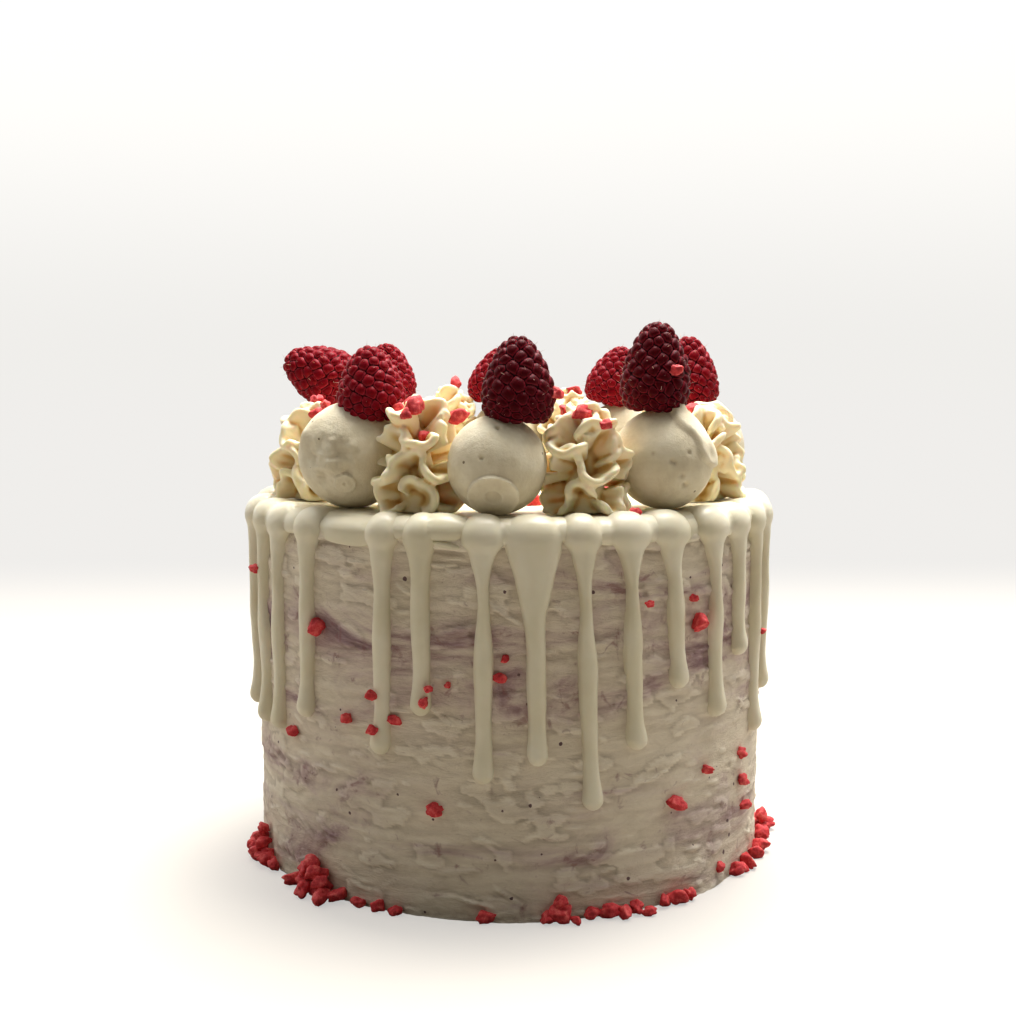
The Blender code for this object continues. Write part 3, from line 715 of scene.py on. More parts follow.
def drip(seed, rim_angle, tip_angle, tip_height, lobe, taper=SHORT_TAPER):
    """A sphere drawn out from the pool over the rim to a rounded, slightly swollen tip."""
    end = OVER + CAKE_HEIGHT - EDGE_ROUNDING - tip_height
    neck, waist = OVER + taper, end - 0.0068
    knots = [0.0, ON_TOP - 0.001, ON_TOP + 0.0028, OVER + 0.0012, OVER + 0.45 * taper, neck]
    widths = [0.62 * lobe, 0.84 * lobe, lobe, 1.02 * lobe, (lobe + DRIP_WIDTH) / 2, 1.06 * DRIP_WIDTH]
    prouds = [0.0024, 0.0032, 0.0039, 0.0038, 0.0033, 1.04 * DRIP_PROUD]
    if waist - neck > 0.004:
        knots += [(neck + waist) / 2, waist]
        widths += [DRIP_WIDTH, 0.96 * DRIP_WIDTH]
        prouds += [DRIP_PROUD, 0.96 * DRIP_PROUD]
    knots += [end - 0.0036, end]
    widths += [1.09 * DRIP_WIDTH, 1.05 * DRIP_WIDTH]
    prouds += [1.18 * DRIP_PROUD, 1.10 * DRIP_PROUD]
    tip = end - TIP_ROUND * (1.0 - np.sin(np.linspace(0.0, math.pi / 2, TIP_RINGS + 1)))
    way = np.concatenate([
        START_ROUND * (1.0 - np.cos(np.linspace(0.0, math.pi / 2, 6)))[:-1],
        np.linspace(START_ROUND, neck, LOBE_RINGS + 1)[:-1],
        np.linspace(neck, end - TIP_ROUND, RUN_RINGS + 1)[:-1], tip])
    slide = np.stack([way, np.full_like(way, 0.013 * seed), np.zeros_like(way)], axis=-1)
    below = smoothstep(OVER, neck, way)
    uneven = 0.055 * grain(slide, 0.0075) + 0.035 * grain(slide, 0.0026, 5.0) * below
    width = curve_through(knots, widths, way) * (1.0 + uneven)
    proud = curve_through(knots, prouds, way) * (1.0 + 0.08 * grain(slide, 0.0080, 9.0))
    sway = 0.00045 * grain(slide, 0.013, 17.0) * below
    cap = np.sqrt(np.clip(1.0 - (np.maximum(way - end + TIP_ROUND, 0.0) / TIP_ROUND) ** 2, 0.0, 1.0))
    cap *= np.sqrt(np.clip(1.0 - (np.maximum(START_ROUND - way, 0.0) / START_ROUND) ** 2, 0.0, 1.0))
    angle = rim_angle + (tip_angle - rim_angle) * way / end + np.degrees(sway / CAKE_RADIUS)
    return tongue(f"drip_{seed}", way, angle, width, proud, cap)


# %% The lip of the pool between two drips
LIP_RINGS = 20


def lip(seed, angle, wide, start, end, proud, slant):
    """The coating that rolls over the rim and hangs down a little, without running on."""
    t = np.linspace(0.0, math.pi, LIP_RINGS + 1)
    way = (start + end) / 2 - (end - start) / 2 * np.cos(t)
    slide = np.stack([way, np.full_like(way, 0.017 * seed), np.zeros_like(way)], axis=-1)
    width = wide * (1.0 + 0.10 * grain(slide, 0.0030))
    proud = proud * (1.0 + 0.15 * grain(slide, 0.0040, 3.0))
    return tongue(f"lip_{seed}", way, np.full_like(way, angle), width, proud, np.sin(t) ** 0.55, slant)


# %% Where the drips run: the front ones listed, the hidden ones read off the solid
FRONT_DRIPS = [  # angle at the rim, angle at the tip, height of the tip, width of the lobe, taper
    (-77.0, -77.5, 0.0447, 0.0112), (-65.2, -65.6, 0.0428, 0.0108), (-55.9, -57.7, 0.0432, 0.0112),
    (-44.8, -46.2, 0.0497, 0.0100), (-25.6, -25.9, 0.0437, 0.0092), (-17.6, -17.3, 0.0553, 0.0092, 0.0085),
    (-5.1, -5.0, 0.0377, 0.0114), (4.4, 5.5, 0.0425, 0.0150, 0.024), (13.8, 16.5, 0.0297, 0.0104),
    (23.6, 25.8, 0.0449, 0.0126), (33.0, 36.1, 0.0601, 0.0122), (45.2, 47.8, 0.0495, 0.0130),
    (54.7, 56.6, 0.0650, 0.0124), (65.1, 67.0, 0.0396, 0.0124), (77.0, 77.3, 0.0494, 0.0124),
    (88.0, 88.0, 0.0898, 0.0124),
]
BACK_FROM, BACK_TO = 96.0, 277.0
BELOW_LOBES = 0.084
NEXT_DRIP = 4.0
BACK_LOBE = 0.0126


def back_drips():
    """One row for each run of the solid that lies behind: its tip, and the angle it comes from."""
    solid = points_of(frame["nodes"]["white_chocolate_drip"])
    angle = angle_of(solid) % 360.0
    low = (solid[:, 2] < BELOW_LOBES) & (angle > BACK_FROM) & (angle < BACK_TO)
    order = np.argsort(angle[low])
    angle, height = angle[low][order], solid[low, 2][order]
    rows = []
    for run in np.split(np.arange(len(angle)), np.where(np.diff(angle) > NEXT_DRIP)[0] + 1):
        tip = run[np.argmin(height[run])]
        upper = angle[run][height[run] > height[tip] + 0.6 * (BELOW_LOBES - height[tip])]
        rim = angle[tip] + 1.3 * (upper.mean() - angle[tip]) if len(upper) else angle[tip]
        rows.append((rim, angle[tip], height[tip], BACK_LOBE))
    return rows


drips = bpy.data.collections.new("drips")
bpy.context.scene.collection.children.link(drips)


def gather(piece):
    for home in piece.users_collection:
        home.objects.unlink(piece)
    drips.objects.link(piece)


rows = FRONT_DRIPS + back_drips()
for number, row in enumerate(rows, 1):
    gather(drip(number, *row))
print("drips:", len(rows))

# %% The lips, one between each two drips, and three that only the front shows
SPECIAL_LIPS = [  # angle, width, start and end along the way, proud, slant
    (-13.6, 0.0160, ON_TOP - 0.0030, OVER + 0.0006, 0.0036, 0.05),
    (-12.2, 0.0080, OVER + 0.0006, OVER + 0.0024, 0.0028, 0.18),
    (-35.0, 0.0200, ON_TOP + 0.0006, OVER + 0.0032, 0.0015, 0.06),
]
LIP_SHARE = 0.92
LIP_START = ON_TOP - 0.0030
CLOSE_DRIPS = 12.0
LIP_PROUD, WIDE_LIP_PROUD = 0.0024, 0.0013

draw = random.Random(7)
edges = sorted(row[0] for row in rows)
lips = []
for here, there in zip(edges, edges[1:] + [edges[0] + 360.0]):
    wide = LIP_SHARE * math.radians(there - here) * CAKE_RADIUS
    sag = draw.uniform(0.0004, 0.0030)
    proud = LIP_PROUD if there - here < CLOSE_DRIPS else WIDE_LIP_PROUD
    lips.append(((here + there) / 2, wide, LIP_START, OVER + sag, proud, draw.uniform(-0.12, 0.12)))
for number, row in enumerate(lips + SPECIAL_LIPS, 1):
    gather(lip(number, *row))

# %% One body of pool and drips
apply_modifier(pool, "BOOLEAN", operation="UNION", operand_type="COLLECTION", collection=drips,
               solver="MANIFOLD")
for run in list(drips.objects):
    bpy.data.objects.remove(run)
bpy.data.collections.remove(drips)
chocolate = settle(pool, "poured_white_chocolate")
smooth_faces(chocolate, 50)
dress(chocolate, CHOCOLATE, "white_chocolate", "white_chocolate_drip")

# %% [markdown]
# ## The meringue balls
#
# Each ball was piped, dried and turned over, so no two are alike: one shows the flat round foot that
# it dried on, one a nub and a peeled flap, one is dented. The ball starts as a sphere primitive at
# its size and place. Slow noise takes the perfect roundness away, and every mark is one rule that
# moves the points within its reach.

# %% Marks on a ball
def angle_from(ways, target):
    """How far each direction lies from a target direction, in radians."""
    target = np.asarray(target, float) / np.linalg.norm(target)
    return np.arccos(np.clip(ways @ target, -1.0, 1.0))


def add_dent(reach, ways, target, size, depth):
    """Presses a soft hollow in, or with a negative depth raises a bump. size is an angle in radians."""
    return reach - depth * np.exp(-((angle_from(ways, target) / size) ** 2))


def add_foot(reach, ways, target, radius, disc, raised, dimple):
    """The flat round foot that the ball dried on, with a crisp rim and a small hollow in its middle."""
    away = angle_from(ways, target)
    spread = reach * np.tan(np.minimum(away, 1.2))
    level = math.sqrt(radius**2 - disc**2) + raised
    flat = level / np.maximum(np.cos(away), 0.3)
    flat = flat - 0.00045 * smoothstep(dimple + 0.0002, dimple - 0.0002, spread)
    flat = flat + 0.00016 * np.exp(-(((spread - dimple - 0.0004) / 0.0003) ** 2))
    share = smoothstep(disc * 1.06, disc * 0.985, level * np.tan(np.minimum(away, 1.2)))
    return reach + share * (flat - reach)


def add_flap(reach, ways, target, size, height):
    """A skin that peeled up: it rises slowly towards its curved edge and drops off sharply there."""
    away = angle_from(ways, target) / size
    rim = 1.0 + 0.10 * np.sin(5.0 * np.arctan2(ways[:, 2], ways[:, 0]) + 1.0)
    return reach + height * smoothstep(0.1, 0.95, away) * smoothstep(rim + 0.13, rim - 0.07, away)


def add_wrinkles(reach, ways, target, size, depth):
    """Fine folds of a skin that dried in waves."""
    folds = np.abs(grain(ways, (0.30, 0.30, 0.13), 4.0)) + 0.5 * np.abs(grain(ways, 0.09, 8.0))
    return reach - depth * (1.0 - 2.4 * folds) * np.exp(-((angle_from(ways, target) / size) ** 4))


# %% A ball
FINE_BALLS, FINE_SIDES, BACK_SIDES = (1, 2, 8), 224, 144
ADD_MARK = {"dent": add_dent, "flap": add_flap, "wrinkles": add_wrinkles}
BALL_MARKS = {  # ball: what is done to it, in order
    1: [("foot", (-0.08, -0.79, -0.61), 0.0070, 0.0012, 0.0022),
        ("dent", (0.02, -0.63, 0.78), 0.045, 0.0010), ("dent", (-0.31, -0.93, 0.21), 0.038, 0.0008),
        ("dent", (0.75, -0.55, 0.35), 0.45, 0.0005), ("dent", (-0.5, -0.4, 0.75), 0.6, -0.0003)],
    2: [("dent", (0.16, -0.30, 0.94), 0.13, -0.0016), ("dent", (0.30, -0.25, 0.92), 0.10, -0.0010),
        ("flap", (0.80, -0.12, 0.59), 0.74, 0.0012), ("dent", (0.86, -0.48, 0.10), 0.16, 0.0010),
        ("dent", (0.05, -0.99, 0.02), 0.045, 0.0007), ("dent", (0.12, -0.98, -0.02), 0.040, 0.0006),
        ("dent", (0.26, -0.93, -0.26), 0.05, 0.0005), ("dent", (0.34, -0.84, -0.46), 0.06, 0.0010),
        ("dent", (0.40, -0.90, 0.18), 0.035, 0.0006), ("dent", (-0.30, -0.94, 0.16), 0.030, 0.0005)],
    3: [("dent", (0.7, -0.6, 0.3), 0.5, 0.0006)],
    4: [("dent", (0.6, 0.7, 0.2), 0.4, 0.0007), ("foot", (0.62, 0.74, -0.10), 0.0058, 0.0005, 0.0018)],
    5: [("dent", (0.1, 1.0, 0.1), 0.3, 0.0006), ("dent", (-0.4, 0.8, 0.5), 0.12, -0.0008)],
    6: [("dent", (-0.7, 0.6, 0.3), 0.35, 0.0008)],
    7: [("dent", (-0.9, -0.2, 0.1), 0.4, 0.0006), ("dent", (-0.3, -0.9, 0.1), 0.2, 0.0003)],
    8: [("dent", (-0.75, -0.60, 0.05), 0.28, 0.0013), ("dent", (-0.62, -0.76, -0.02), 0.12, 0.0006),
        ("dent", (-0.50, -0.84, 0.24), 0.14, 0.0007), ("dent", (-0.85, -0.40, 0.40), 0.16, -0.0007),
        ("dent", (-0.10, -0.98, 0.10), 0.20, 0.0008), ("dent", (0.12, -0.97, 0.22), 0.11, -0.0006),
        ("dent", (-0.30, -0.92, -0.16), 0.13, -0.0007), ("dent", (0.05, -0.97, -0.24), 0.10, 0.0006),
        ("dent", (-0.46, -0.80, -0.34), 0.14, 0.0008), ("wrinkles", (-0.30, -0.93, -0.10), 0.62, 0.00022),
        ("foot", (-0.04, -0.88, -0.48), 0.0030, 0.0004, 0.0004)],
}


def meringue_ball(number, sides):
    low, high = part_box(f"meringue_{number}")
    radius = (high.x - low.x + high.y - low.y) / 4
    centre = np.array([(low.x + high.x) / 2, (low.y + high.y) / 2, SEAT + radius - 0.0005])
    start_clean()
    bpy.ops.mesh.primitive_uv_sphere_add(
        segments=sides, ring_count=sides // 2, radius=radius, location=centre.tolist())
    piece = settle(bpy.context.object, f"meringue_ball_{number}")
    ways = (points_of(piece) - centre) / radius
    reach = radius + 0.00035 * grain(ways, 0.9, 5.1 * number) + 0.00012 * grain(ways, 0.30, 3.3 * number)
    reach = reach + 0.00003 * grain(ways, 0.06, number)
    for kind, target, *sizes in BALL_MARKS[number]:
        if kind == "foot":
            reach = add_foot(reach, ways, target, radius, *sizes)
        else:
            reach = ADD_MARK[kind](reach, ways, target, *sizes)
    points = centre + ways * reach[:, None]
    points[:, 2] = np.maximum(points[:, 2], SEAT)
    move_points(piece, points)
    smooth_faces(piece, 60)
    # The hollow attribute feeds the painted shade in the meringue's dents
    mark_hollows(piece, rounds=12, depth=0.0005)
    dress(piece, MERINGUE, "meringue", f"meringue_{number}")


for number in TOPPINGS:
    meringue_ball(number, FINE_SIDES if number in FINE_BALLS else BACK_SIDES)

# %% [markdown]
# ## The piped rosettes
#
# Soft buttercream pressed through a deep star nozzle comes out with thin fins, and they buckle as the
# hand winds it up: from outside one sees thick ribbons folded to cups and loops that open outwards,
# lean over each other in tiers, and stand up like petals on top. Here each fold is a sphere drawn
# round an arc, from a narrow root to a wide round lip. Remeshing melts the folds and a core into one
# body, and a little smoothing rounds the lips.

# %% One fold of ribbon
FOLD_SIDES, FOLD_RINGS = 18, 40
RIBBON = 0.0022
VOXEL = 0.00045


def fold(name, base, turn, tilt, roll, root, reach, size, arc, draw):
    """A ribbon bent round an arc, which widens from its root to its lip and looks outwards."""
    outward = np.array([math.cos(turn) * math.cos(tilt), math.sin(turn) * math.cos(tilt), math.sin(tilt)])
    across = np.array([-math.sin(turn), math.cos(turn), 0.0])
    upward = np.cross(outward, across)
    flare = math.atan(0.7 * size / (reach - root))
    first, second = draw.uniform(0.0, math.tau), draw.uniform(0.0, math.tau)

    def place(ring, side):
        share = ring / FOLD_RINGS
        around_arc = math.tau * side / FOLD_SIDES
        out = 0.5 - 0.5 * np.cos(around_arc)
        end = np.sqrt(np.clip(1.0 - np.abs(2.0 * share - 1.0) ** 10, 0.0, 1.0))
        half = 0.5 * RIBBON * (0.85 + 0.45 * smoothstep(0.55, 0.95, out)) * end
        thick = half * np.sign(np.sin(around_arc)) * np.abs(np.sin(around_arc)) ** 0.5
        bend = roll + arc * (share - 0.5) + 0.25 * np.sin(math.tau * share + first) * out
        wide = size * (0.30 + 0.70 * out**0.85) * (1.0 + 0.16 * np.sin(1.6 * math.tau * share + second))
        far = root + (reach - root) * out * (1.0 - 0.20 * np.abs(2.0 * share - 1.0) ** 3)
        far = far + 0.0007 * out * np.sin(2.3 * math.tau * share + first)
        sides = across[None, :] * np.cos(bend)[:, None] + upward[None, :] * np.sin(bend)[:, None]
        points = base + outward[None, :] * (far - thick * math.sin(flare))[:, None]
        points = points + sides * (wide + thick * math.cos(flare))[:, None]
        points[:, 2] = np.maximum(points[:, 2], SEAT)
        return points

    return drawn_sphere(name, FOLD_SIDES, FOLD_RINGS, place)


# %% A rosette: tiers of folds on a core
CORE_FOOT, CORE_TOP, CORE_SHARE = 0.0070, 0.0016, 0.72
TIERS = [  # how many folds, level as a share of the height, tilt in degrees, root, reach, size
    (8, 0.13, 3.0, 0.0034, 0.0124, 0.0046),
    (7, 0.31, 14.0, 0.0034, 0.0123, 0.0048),
    (6, 0.46, 33.0, 0.0026, 0.0121, 0.0048),
    (5, 0.56, 56.0, 0.0012, 0.0114, 0.0048),
    (2, 0.63, 80.0, 0.0006, 0.0102, 0.0036),
]


def folded_rosette(name, centre, height, phase, draw):
    folds = []
    for tier, (count, level, tilt, root, reach, size) in enumerate(TIERS):
        for i in range(count):
            turn = phase + 0.7 * tier + math.tau * (i + draw.uniform(-0.12, 0.12)) / count
            base = centre + np.array([0.0, 0.0, level * height + draw.uniform(-0.0010, 0.0010)])
            roll = math.radians(90.0 if i % 2 else -90.0) + draw.uniform(-0.9, 0.9)
            folds.append(fold(
                name, base, turn, math.radians(tilt + draw.uniform(-6.0, 6.0)), roll, root,
                reach * draw.uniform(0.92, 1.04), size * draw.uniform(0.86, 1.12),
                math.radians(draw.uniform(195.0, 265.0)), draw))
    return folds


def melted(folds, centre, height):
    """Gives the folds a core and remeshes all into one smooth body."""
    start_clean()
    bpy.ops.mesh.primitive_cone_add(
        vertices=32, radius1=CORE_FOOT, radius2=CORE_TOP, depth=CORE_SHARE * height,
        location=(centre[0], centre[1], SEAT + 0.5 * CORE_SHARE * height))
    core = bpy.context.object
    pick(folds[0])
    for piece in (core, *folds):
        piece.select_set(True)
    bpy.ops.object.join()
    apply_modifier(folds[0], "REMESH", mode="VOXEL", voxel_size=VOXEL)
    apply_modifier(folds[0], "SMOOTH", factor=0.5, iterations=2)
    return folds[0]


# %% Eight rosettes, each wound in its own way
ROSETTE_RING = 0.0610
ROSETTE_ANGLES = [19.5, 69.5, 118.5, 160.5, 200.5, 241.5, 288.5, 335.8]
ROSETTE_HEIGHTS = [0.0305, 0.0290, 0.0300, 0.0320, 0.0340, 0.0310, 0.0285, 0.0335]

draw = random.Random(23)
for number, (angle, height) in enumerate(zip(ROSETTE_ANGLES, ROSETTE_HEIGHTS), 1):
    centre = around(angle, ROSETTE_RING, SEAT)
    name = f"piped_rosette_{number}"
    folds = folded_rosette(name, centre, height, 0.7 * number, draw)
    rosette = settle(melted(folds, centre, height), name)
    rosette.data.shade_smooth()
    # The hollow attribute feeds the painted amber shade in the deep folds
    mark_hollows(rosette, rounds=18, depth=0.0007)
    dress(rosette, PIPING, "piped_buttercream", f"rosette_{number}")

# %% [markdown]
# ## The raspberries
#
# A raspberry is a cup of a hundred or more drupelets, hollow where it came off its core, and many
# of them carry a fine pale hair. The outline is a drawn-out sphere. The drupelets are spread over it
# by the golden angle, and each point is lifted by the round cap of the nearest one, which leaves the
# crisp creases between them. The front berry also hangs over its ball on one side of its rim.

# %% A raspberry
BERRIES = [  # foot, axis, width and height, in the order of the balls
    ((0.0023, -0.0629, 0.1324), (0.00, 0.02, 1.0), 0.0198, 0.0228),
    ((0.0400, -0.0476, 0.1350), (0.05, 0.00, 1.0), 0.0194, 0.0244),
    ((0.0570, 0.0070, 0.1342), (-0.04, 0.05, 1.0), 0.0185, 0.0220),
    ((0.0335, 0.0475, 0.1336), (0.34, 0.05, 1.0), 0.0185, 0.0205),
    ((-0.0068, 0.0615, 0.1332), (0.28, 0.00, 1.0), 0.0188, 0.0206),
    ((-0.0405, 0.0460, 0.1336), (-0.08, 0.00, 1.0), 0.0182, 0.0208),
    ((-0.0512, 0.0095, 0.1402), (-0.88, -0.05, 0.42), 0.0196, 0.0215),
    ((-0.0379, -0.0465, 0.1322), (-0.06, 0.02, 1.0), 0.0191, 0.0205),
]
BERRY_SIDES, BERRY_RINGS = 136, 104
HOLLOW_RINGS = 14
HOLLOW_DEPTH = 0.0052
RIM_TILT = math.radians(144)
DRUPELETS = 128
DRUPELET_RADIUS = 0.0019
DOME, CREASE = 0.00042, 0.00075
TAPER = 0.20
# The berries that take the darker copy of the raspberry's colours
DARKER_BERRIES = (1, 2)
HANGING = 1
HANG, HANG_AT, HANG_WIDE = 0.0026, 318.0, 17.0
NOTCH_SHARE, NOTCH_AT, NOTCH_WIDE = 0.9, 287.0, 9.0
GOLDEN_ANGLE = math.pi * (3.0 - math.sqrt(5.0))


def berry_surface(tilt, turn, width, height):
    """The smooth outline of a berry that stands on the origin: its points and the way out of it."""
    z = height * ((np.cos(tilt) - math.cos(RIM_TILT)) / (1.0 - math.cos(RIM_TILT))) ** 1.45
    radius = 0.5 * width * np.sin(tilt) ** 0.82 * (1.0 - TAPER * smoothstep(0.30, 1.05, z / height))
    ways = np.stack([np.sin(tilt) * np.cos(turn), np.sin(tilt) * np.sin(turn), 0.75 * np.cos(tilt)], axis=-1)
    ways /= np.linalg.norm(ways, axis=1)[:, None]
    return np.stack([radius * np.cos(turn), radius * np.sin(turn), z], axis=-1), ways


def berry_stand(foot, axis):
    """The matrix that stands a berry on its foot, along its axis."""
    return Matrix.Translation(foot) @ Vector(axis).to_track_quat("Z", "Y").to_matrix().to_4x4()


def drupelet_places(width, height, draw):
    """Middles of the drupelets, evenly spread by the golden angle and then shaken a little."""
    share = (np.arange(DRUPELETS) + 0.5) / DRUPELETS
    tilt = np.arccos(1.0 - share * (1.0 - math.cos(RIM_TILT)))
    tilt = tilt + np.array([draw.uniform(-0.035, 0.035) for _ in share])
    turn = GOLDEN_ANGLE * np.arange(DRUPELETS) + np.array([draw.uniform(-0.10, 0.10) for _ in share])
    return berry_surface(np.clip(tilt, 0.02, RIM_TILT), turn, width, height)


def raspberry(number, foot, axis, width, height):
    draw = random.Random(100 + number)
    width, height = width - 0.0008, height - 0.0004
    middles, _ = drupelet_places(width, height, draw)
    sizes = np.array([draw.uniform(0.92, 1.10) for _ in middles]) * DRUPELET_RADIUS
    lifts = np.array([draw.uniform(-0.00015, 0.00020) for _ in middles])
    edge = {}

    def place(ring, side):
        last = BERRY_RINGS - HOLLOW_RINGS
        inside = np.clip((ring - last) / HOLLOW_RINGS, 0.0, 1.0)
        tilt = np.clip(RIM_TILT * np.minimum(ring, last) / last, 1e-4, RIM_TILT)
        turn = math.tau * side / BERRY_SIDES
        points, ways = berry_surface(tilt, turn, width, height)
        away = np.linalg.norm(points[:, None, :] - middles[None, :, :], axis=2) / sizes[None, :]
        two = np.partition(away, 1, axis=1)[:, :2]
        near, gap = two[:, 0], two[:, 1] - two[:, 0]
        pillow = 1.0 - (1.0 - np.clip(gap / 0.85, 0.0, 1.0)) ** 2
        dome = DOME * (1.0 - near**2) + CREASE * (pillow - 0.85)
        lift = dome + lifts[np.argmin(away, axis=1)]
        lift = lift * np.where(ring > last, 1.0 - inside, 1.0)
        # How near a point lies to a crease: it feeds the painted sheen on the rims and the painted shade in
        # the creases
        edge["share"] = np.where(inside > 0.0, 0.0, smoothstep(0.60, 0.0, gap))
        points = points + ways * lift[:, None]
        shrink = 1.0 - 0.38 * smoothstep(0.0, 0.35, inside) - 0.62 * smoothstep(0.35, 1.0, inside)
        points[:, :2] *= shrink[:, None]
        points[:, 2] += HOLLOW_DEPTH * smoothstep(0.1, 1.0, inside)
        if number == HANGING:
            hang = np.exp(-(((np.degrees(turn) - HANG_AT) / HANG_WIDE) ** 2))
            notch = np.exp(-(((np.degrees(turn) - NOTCH_AT) / NOTCH_WIDE) ** 2))
            points[:, 2] -= HANG * (hang - NOTCH_SHARE * notch) * smoothstep(0.0045, 0.0005, points[:, 2])
        stand = np.array(berry_stand(foot, axis))
        return points @ stand[:3, :3].T + stand[:3, 3]

    piece = drawn_sphere(f"fresh_raspberry_{number}", BERRY_SIDES, BERRY_RINGS, place)
    share = piece.data.attributes.new("drupelet", "FLOAT", "POINT")
    share.data.foreach_set("value", np.clip(edge["share"], 0.0, 1.2).astype(np.float32))
    piece.data.shade_smooth()
    dress(piece, DARKER_BERRY if number in DARKER_BERRIES else BERRY, "raspberry", f"raspberry_{number}")


for number, row in enumerate(BERRIES, 1):
    raspberry(number, *row)

# %% Fine hairs on the berries
HAIR_LENGTH, HAIR_THICK = 0.0017, 0.00007
HAIRS_PER_BERRY = 46
BARE_AT_RIM = 20


def berry_hairs(draw):
    """Each hair is a slim cone with three sides, set in the middle of a drupelet."""
    start_clean()
    bpy.ops.mesh.primitive_cone_add(
        vertices=3, radius1=HAIR_THICK, radius2=0.0, depth=HAIR_LENGTH, location=(0.0, 0.0, HAIR_LENGTH / 2))
    model = settle(bpy.context.object, "hair_model")
    strand = points_of(model)
    faces = [tuple(polygon.vertices) for polygon in model.data.polygons]
    bpy.data.objects.remove(model)
    places, all_faces = [], []
    for number, (foot, axis, width, height) in enumerate(BERRIES, 1):
        middles, outs = drupelet_places(width - 0.0002, height + 0.0002, random.Random(100 + number))
        for i in draw.sample(range(DRUPELETS - BARE_AT_RIM), HAIRS_PER_BERRY):
            way = Vector(outs[i]) + Vector([draw.uniform(-0.5, 0.5) for _ in range(3)])
            here = berry_stand(foot, axis) @ berry_stand(middles[i].tolist(), way) @ Matrix.Scale(
                draw.uniform(0.6, 1.2), 4)
            all_faces += [tuple(corner + len(places) for corner in face) for face in faces]
            places += [here @ Vector(point) for point in strand.tolist()]
    mesh = bpy.data.meshes.new("raspberry_hairs")
    mesh.from_pydata(places, [], all_faces)
    return new_object("raspberry_hairs", mesh)


dress(berry_hairs(random.Random(5)), DOWN, "raspberry", *(f"raspberry_{number}" for number in TOPPINGS))

# %% [markdown]
# ## Crumbs of freeze-dried raspberry
#
# The maker pressed crumbled freeze-dried raspberry into the wet coating and strewed it on top, and
# some fell to the foot. A crumb is a broken lump with flat and ragged sides. Five lumps are shaped
# from icospheres; each crumb is a turned and scaled copy of one, and all crumbs on one thing are
# joined into one mesh.

# %% Five lumps
BROKEN_SIDES = ((1, 0.3, 0.2), (-0.4, 1, -0.3), (0.1, -0.6, 1), (-0.8, -0.5, -0.4))


def lump(number):
    start_clean()
    bpy.ops.mesh.primitive_ico_sphere_add(subdivisions=3, radius=0.5)
    piece = settle(bpy.context.object, f"lump_{number}")
    points = points_of(piece)
    reach = 1.0 + 0.60 * grain(points, 0.42, 7.7 * number) + 0.24 * grain(points, 0.20, 3.1 * number)
    points *= 1.12 * reach[:, None]
    for way in BROKEN_SIDES:
        way = np.array(way) / np.linalg.norm(way)
        past = np.maximum(points @ way - 0.34 - 0.03 * number, 0.0)
        points -= 0.70 * past[:, None] * way
    move_points(piece, points)
    return piece


LUMPS = [lump(number) for number in range(5)]


def crumbs(name, places, draw, *nodes):
    """Joins a crumb at each place, given as point and size, into one piece."""
    copies = []
    for point, size in places:
        model = draw.choice(LUMPS)
        copy = new_object(name, model.data.copy())
        turn = Matrix.Rotation(draw.uniform(0.0, math.tau), 4, "Z") @ Matrix.Rotation(
            draw.uniform(0.0, math.pi), 4, "X")
        stretch = Matrix.Diagonal((1.30, draw.uniform(0.72, 1.0), draw.uniform(0.65, 0.95), 1.0))
        copy.data.transform(Matrix.Translation(point) @ turn @ Matrix.Scale(size, 4) @ stretch)
        copies.append(copy)
    pick(copies[0])
    for copy in copies:
        copy.select_set(True)
    bpy.ops.object.join()
    piece = settle(copies[0], name)
    piece.data.shade_smooth()
    dress(piece, DRIED, "raspberry", *nodes)


